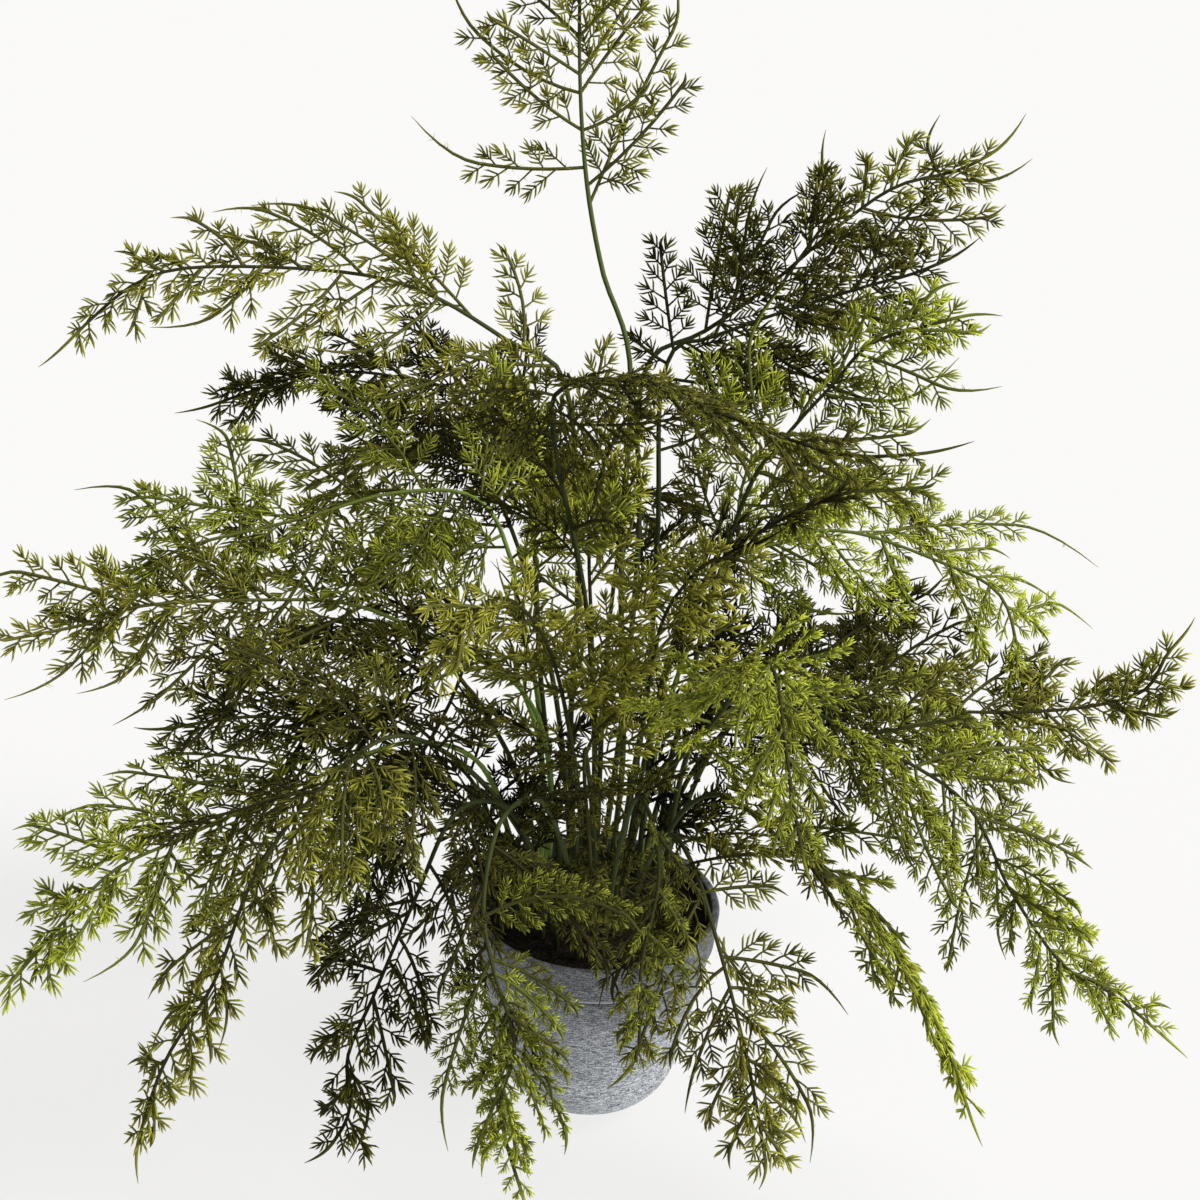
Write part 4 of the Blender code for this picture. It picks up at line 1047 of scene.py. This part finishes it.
def pot_profile():
    """The pot's section, from the soil up the inside, over the lip and down to the base."""
    collar_radius = RIM_RADIUS - COLLAR_DRAFT
    wall_top = collar_radius - COLLAR_OVERHANG
    inside = RIM_RADIUS - WALL
    lip, edge = LIP_ROUNDING, COLLAR_EDGE
    body_top = COLLAR_LOW - BODY_DROP
    profile = [(inside - HIDDEN_DRAFT, SOIL_TOP - HIDDEN_DEPTH), (inside, POT_HEIGHT - lip)]
    profile += arc((inside + lip, POT_HEIGHT - lip), lip, 180, 90)
    profile += arc((RIM_RADIUS - lip, POT_HEIGHT - lip), lip, 90, 0)
    inward, down = SHOULDER
    profile += [(RIM_RADIUS - inward, POT_HEIGHT - down), (collar_radius, COLLAR_LOW + 3 * edge)]
    profile += arc((collar_radius - edge, COLLAR_LOW + edge), edge, 0, -90)
    profile.append((wall_top + edge, COLLAR_LOW))
    profile += [(wall_top, COLLAR_LOW - drop) for drop in CREASE_DROPS]
    for share in np.linspace(0, 1, WALL_STEPS)[1:-1]:
        belly = BELLY * math.sin(math.pi * share)
        profile.append((wall_top + (BASE_RADIUS - wall_top) * share + belly,
                        body_top + (FOOT_ROUNDING - body_top) * share))
    profile += arc((BASE_RADIUS - FOOT_ROUNDING, FOOT_ROUNDING), FOOT_ROUNDING, 0, -90, FOOT_STEPS)
    profile.append((0, 0))
    return profile


def height_bands(tree, stops):
    """Grey values over the pot's height, as (height, value) stops."""
    above = node_of(tree, "SeparateXYZ", "Z", {"Vector": place_of(tree)})
    share = node_of(tree, "Math", "Value", {0: above, 1: POT_HEIGHT}, operation="DIVIDE")
    return ramp(tree, share, [(height / POT_HEIGHT, value) for height, value in stops])


def painted_inner_shade(tree):
    """One on the inner wall above the soil, where shade is painted dark, and nought elsewhere."""
    flat = node_of(tree, "VectorMath", "Vector", {0: place_of(tree), 1: (1, 1, 0)},
                   operation="MULTIPLY")
    reach = node_of(tree, "VectorMath", "Value", {0: flat}, operation="LENGTH")
    inside = node_of(tree, "Math", "Value", {0: reach, 1: RIM_RADIUS - WALL + INNER_SHADE_DEPTH},
                     operation="LESS_THAN")
    above = height_bands(tree, [(SOIL_TOP - INNER_SHADE_LOW, 0), (SOIL_TOP - INNER_SHADE_LOW + 0.001, 1)])
    return blended(tree, 1.0, inside, above, "MULTIPLY")


def stone():
    """Grey stone effect: short brushed streaks round the pot, with pale and dark specks, painted shade
    and light over its height and a painted highlight on the collar's edge.
    """
    made, tree, shader = new_material("brushed_stone", {"Specular IOR Level": 0.3})
    streaks = noise_of(tree, (240, 240, 1400), 5, 0.76)
    base = ramp(tree, streaks, [(0.37, (0.075, 0.086, 0.105)), (0.45, (0.215, 0.235, 0.270)),
                                (0.53, (0.43, 0.46, 0.50)), (0.63, (0.88, 0.91, 0.95))])
    specks = noise_of(tree, (1200, 1200, 1900), 2, 0.65)
    pale = ramp(tree, specks, [(0.55, 0), (0.65, 0.85)])
    dark = ramp(tree, specks, [(0.34, 0.85), (0.44, 0)])
    color = blended(tree, pale, base, (0.90, 0.93, 0.96))
    color = blended(tree, dark, color, (0.028, 0.032, 0.044))
    shade = ramp(tree, noise_of(tree, (30, 30, 70), 3, 0.55), [(0.3, 0.80), (0.7, 1)])
    color = blended(tree, 1.0, color, shade, "MULTIPLY")
    low = COLLAR_LOW
    # Painted shade and light over the height: darker at the collar and just under it, where the foliage
    # shades the pot, and lighter towards the foot, where the floor's light reaches it.
    painted_shade_by_height = height_bands(tree, [(0.004, 0.92), (0.030, 0.90), (low - 0.020, 0.66),
                                (low - 0.002, 0.37), (low, 0.36), (POT_HEIGHT, 0.38)])
    color = blended(tree, 1.0, color, painted_shade_by_height, "MULTIPLY")
    # A pale band on the collar's lower edge and a faint one at the lip: partly rubbed wear, partly a
    # painted highlight where the rounded edge catches the light.
    wear_and_highlight = height_bands(tree, [(low - 0.0001, 0), (low + 0.0002, 0.6), (low + 0.0008, 0.5),
                                 (low + 0.0014, 0), (POT_HEIGHT - 0.0016, 0),
                                 (POT_HEIGHT - 0.0004, 0.12)])
    # Painted shade: a dark band just under the collar's overhang, where its shadow falls.
    shade_under_collar = height_bands(tree, [(low - 0.0035, 0), (low - 0.0008, 0.65), (low - 0.0001, 0.75),
                                (low, 0)])
    color = blended(tree, wear_and_highlight, color, (0.60, 0.63, 0.67))
    color = blended(tree, shade_under_collar, color, (0.035, 0.040, 0.052))
    # Painted shade on the inside of the pot above the soil.
    color = blended(tree, painted_inner_shade(tree), color, (0.030, 0.028, 0.026))
    tree.links.new(color, shader.inputs["Base Color"])
    tree.links.new(ramp(tree, streaks, [(0.35, 0.85), (0.7, 0.6)]), shader.inputs["Roughness"])
    bumped(tree, shader, blended(tree, 0.5, streaks, specks), 0.5, 0.0004)
    return made


def earth():
    """Nearly black potting soil with brown grains."""
    made, tree, shader = new_material("potting_soil",
                                      {"Roughness": 0.95, "Specular IOR Level": 0.2})
    grains = noise_of(tree, (700, 700, 700), 3, 0.6)
    color = ramp(tree, grains, [(0.35, (0.006, 0.005, 0.004)), (0.55, (0.022, 0.016, 0.010)),
                                (0.75, (0.075, 0.052, 0.032))])
    tree.links.new(color, shader.inputs["Base Color"])
    bumped(tree, shader, grains, 0.6, 0.0006)
    return made


SOIL_SEED = 77
SOIL_RINGS = 34
SOIL_SECTORS = 110
SOIL_GAP = 0.0012
LUMPS_A_METRE = 160
LUMP_HEIGHT = 0.0009
GRAINS = 900
GRAIN_RADII = (0.0005, 0.0016)
GRAIN_REACH = 0.97
GRAIN_UNEVEN = (0.6, 1.2)
OCTAHEDRON = ((1, 0, 0), (-1, 0, 0), (0, 1, 0), (0, -1, 0), (0, 0, 1), (0, 0, -1))
OCTAHEDRON_FACES = ((0, 2, 4), (2, 1, 4), (1, 3, 4), (3, 0, 4), (2, 0, 5), (1, 2, 5), (3, 1, 5),
                    (0, 3, 5))


def soil_height(x, y, edge):
    """The soil's rough domed surface."""
    lumps = noise.fractal(Vector((x * LUMPS_A_METRE, y * LUMPS_A_METRE, 3)), 1.0, 2.0, 4)
    dome = SOIL_DOME * (1 - (math.hypot(x, y) / edge) ** 2)
    return SOIL_TOP + dome + LUMP_HEIGHT * lumps


def grain(place, radius, draw):
    """One angular grain: the corners of an uneven octahedron."""
    ways = np.array(OCTAHEDRON, float)
    turn = unit_rows(draw.normal(size=(3, 3)))
    return place + radius * (ways * draw.uniform(*GRAIN_UNEVEN, (len(ways), 1))) @ turn


def make_soil():
    edge = RIM_RADIUS - WALL - SOIL_GAP
    rings = np.linspace(0, edge, SOIL_RINGS)
    soil = revolved("soil_fine", [(radius, 0) for radius in rings], SOIL_SECTORS)
    for corner in soil.data.vertices:
        corner.co.z = soil_height(corner.co.x, corner.co.y, edge)
    soil.data.flip_normals()
    draw = np.random.default_rng(SOIL_SEED)
    points, faces = [], []
    for _ in range(GRAINS):
        radius, turn = edge * GRAIN_REACH * math.sqrt(draw.uniform()), draw.uniform(0, math.tau)
        x, y = radius * math.cos(turn), radius * math.sin(turn)
        place = np.array((x, y, soil_height(x, y, edge)))
        faces += [tuple(corner + len(points) for corner in side) for side in OCTAHEDRON_FACES]
        points += [tuple(point) for point in grain(place, draw.uniform(*GRAIN_RADII), draw)]
    grains = mesh_object("soil_grains", points, faces)
    surface = earth()
    for piece in (soil, grains):
        piece.data.materials.append(surface)
        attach(piece, "root")
    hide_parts("soil")


def make_pot():
    pot = revolved("pot_fine", pot_profile(), POT_SECTORS)
    pot.data.materials.append(stone())
    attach(pot, "root")
    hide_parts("pot")


def make_fronds():
    slots = {row["node"]: row["material_slot"] for row in frame["record"]["subparts"]}
    for frond in FRONDS:
        slot = slots[frond.name]
        piece = frond_piece(frond, FOLIAGE[slot])
        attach(piece, "root")
        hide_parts(frond.name)


# Camera, floor and light. The focal length is in pixels of the image's side
IMAGE = 1200
FOCAL = 2200
SENSOR = 36
PITCH = 26.0
ROLL = 2.6
DISTANCE = 0.985
TARGET = Vector((-0.004, 0, 0.268))
FLOOR_REACH = 9
FLOOR_COLOR = (0.17, 0.169, 0.167, 1)
FLOOR_GLOW = (1, 0.995, 0.985, 1)
FLOOR_GLOW_STRENGTH = 0.76
DOME_COLOR = (0.98, 0.985, 1.0, 1)
DOME_STRENGTH = 0.29
SEEN_COLOR = (0.945, 0.938, 0.925, 1)


def make_camera():
    pitch, roll = math.radians(PITCH), math.radians(ROLL)
    forward = Vector((0, math.cos(pitch), -math.sin(pitch)))
    right, up = Vector((1, 0, 0)), Vector((0, math.sin(pitch), math.cos(pitch)))
    across = right * math.cos(roll) + up * math.sin(roll)
    above = up * math.cos(roll) - right * math.sin(roll)
    lens = bpy.data.cameras.new("camera")
    lens.sensor_width = SENSOR
    lens.lens = FOCAL / IMAGE * SENSOR
    camera = linked("camera", lens)
    turn = Matrix((across, above, -forward)).transposed().to_4x4()
    camera.matrix_world = Matrix.Translation(TARGET - forward * DISTANCE) @ turn
    bpy.context.scene.camera = camera


def add_light(name, kind, power, color, toward, place=(0, 0, 0), **settings):
    """A lamp that shines from this way."""
    lamp = bpy.data.lights.new(name, kind)
    for key, value in dict(settings, energy=power, color=color).items():
        setattr(lamp, key, value)
    thing = linked(name, lamp)
    thing.location = place
    thing.rotation_euler = Vector(toward).to_track_quat("Z", "Y").to_euler()


def make_world():
    """A soft grey dome for light, which the camera sees as pale as the floor."""
    world = bpy.data.worlds.new("studio")
    world.use_nodes = True
    tree = world.node_tree
    dome = tree.nodes["Background"]
    dome.inputs["Color"].default_value = DOME_COLOR
    dome.inputs["Strength"].default_value = DOME_STRENGTH
    seen = node_of(tree, "Background", "Background", {"Color": SEEN_COLOR})
    direct = node_of(tree, "LightPath", "Is Camera Ray", {})
    either = node_of(tree, "MixShader", "Shader", {0: direct, 1: dome.outputs[0], 2: seen})
    tree.links.new(either, tree.nodes["World Output"].inputs["Surface"])
    bpy.context.scene.world = world


def make_studio():
    far = FLOOR_REACH
    floor = mesh_object("floor", [(-far, -far, 0), (far, -far, 0), (far, far, 0), (-far, far, 0)],
                        [(0, 1, 2, 3)])
    surface, _, _ = new_material("floor", {
        "Base Color": FLOOR_COLOR, "Roughness": 1, "Specular IOR Level": 0,
        "Emission Color": FLOOR_GLOW, "Emission Strength": FLOOR_GLOW_STRENGTH})
    floor.data.materials.append(surface)
    make_world()
    add_light("key", "SUN", 3.0, (1.0, 0.985, 0.965), (0.80, -0.16, 1.0), angle=math.radians(24))
    add_light("fill", "AREA", 1.5, (0.97, 0.98, 1.0), (-2.0, -1.4, 1.4), (-2.0, -1.4, 1.6),
              shape="SQUARE", size=2.0)
    add_light("side", "SUN", 2.3, (1.0, 0.99, 0.97), (1.6, -0.7, 0.36), angle=math.radians(16))
    bpy.context.scene.view_settings.view_transform = "Standard"


make_pot()
make_soil()
make_fronds()
make_camera()
make_studio()
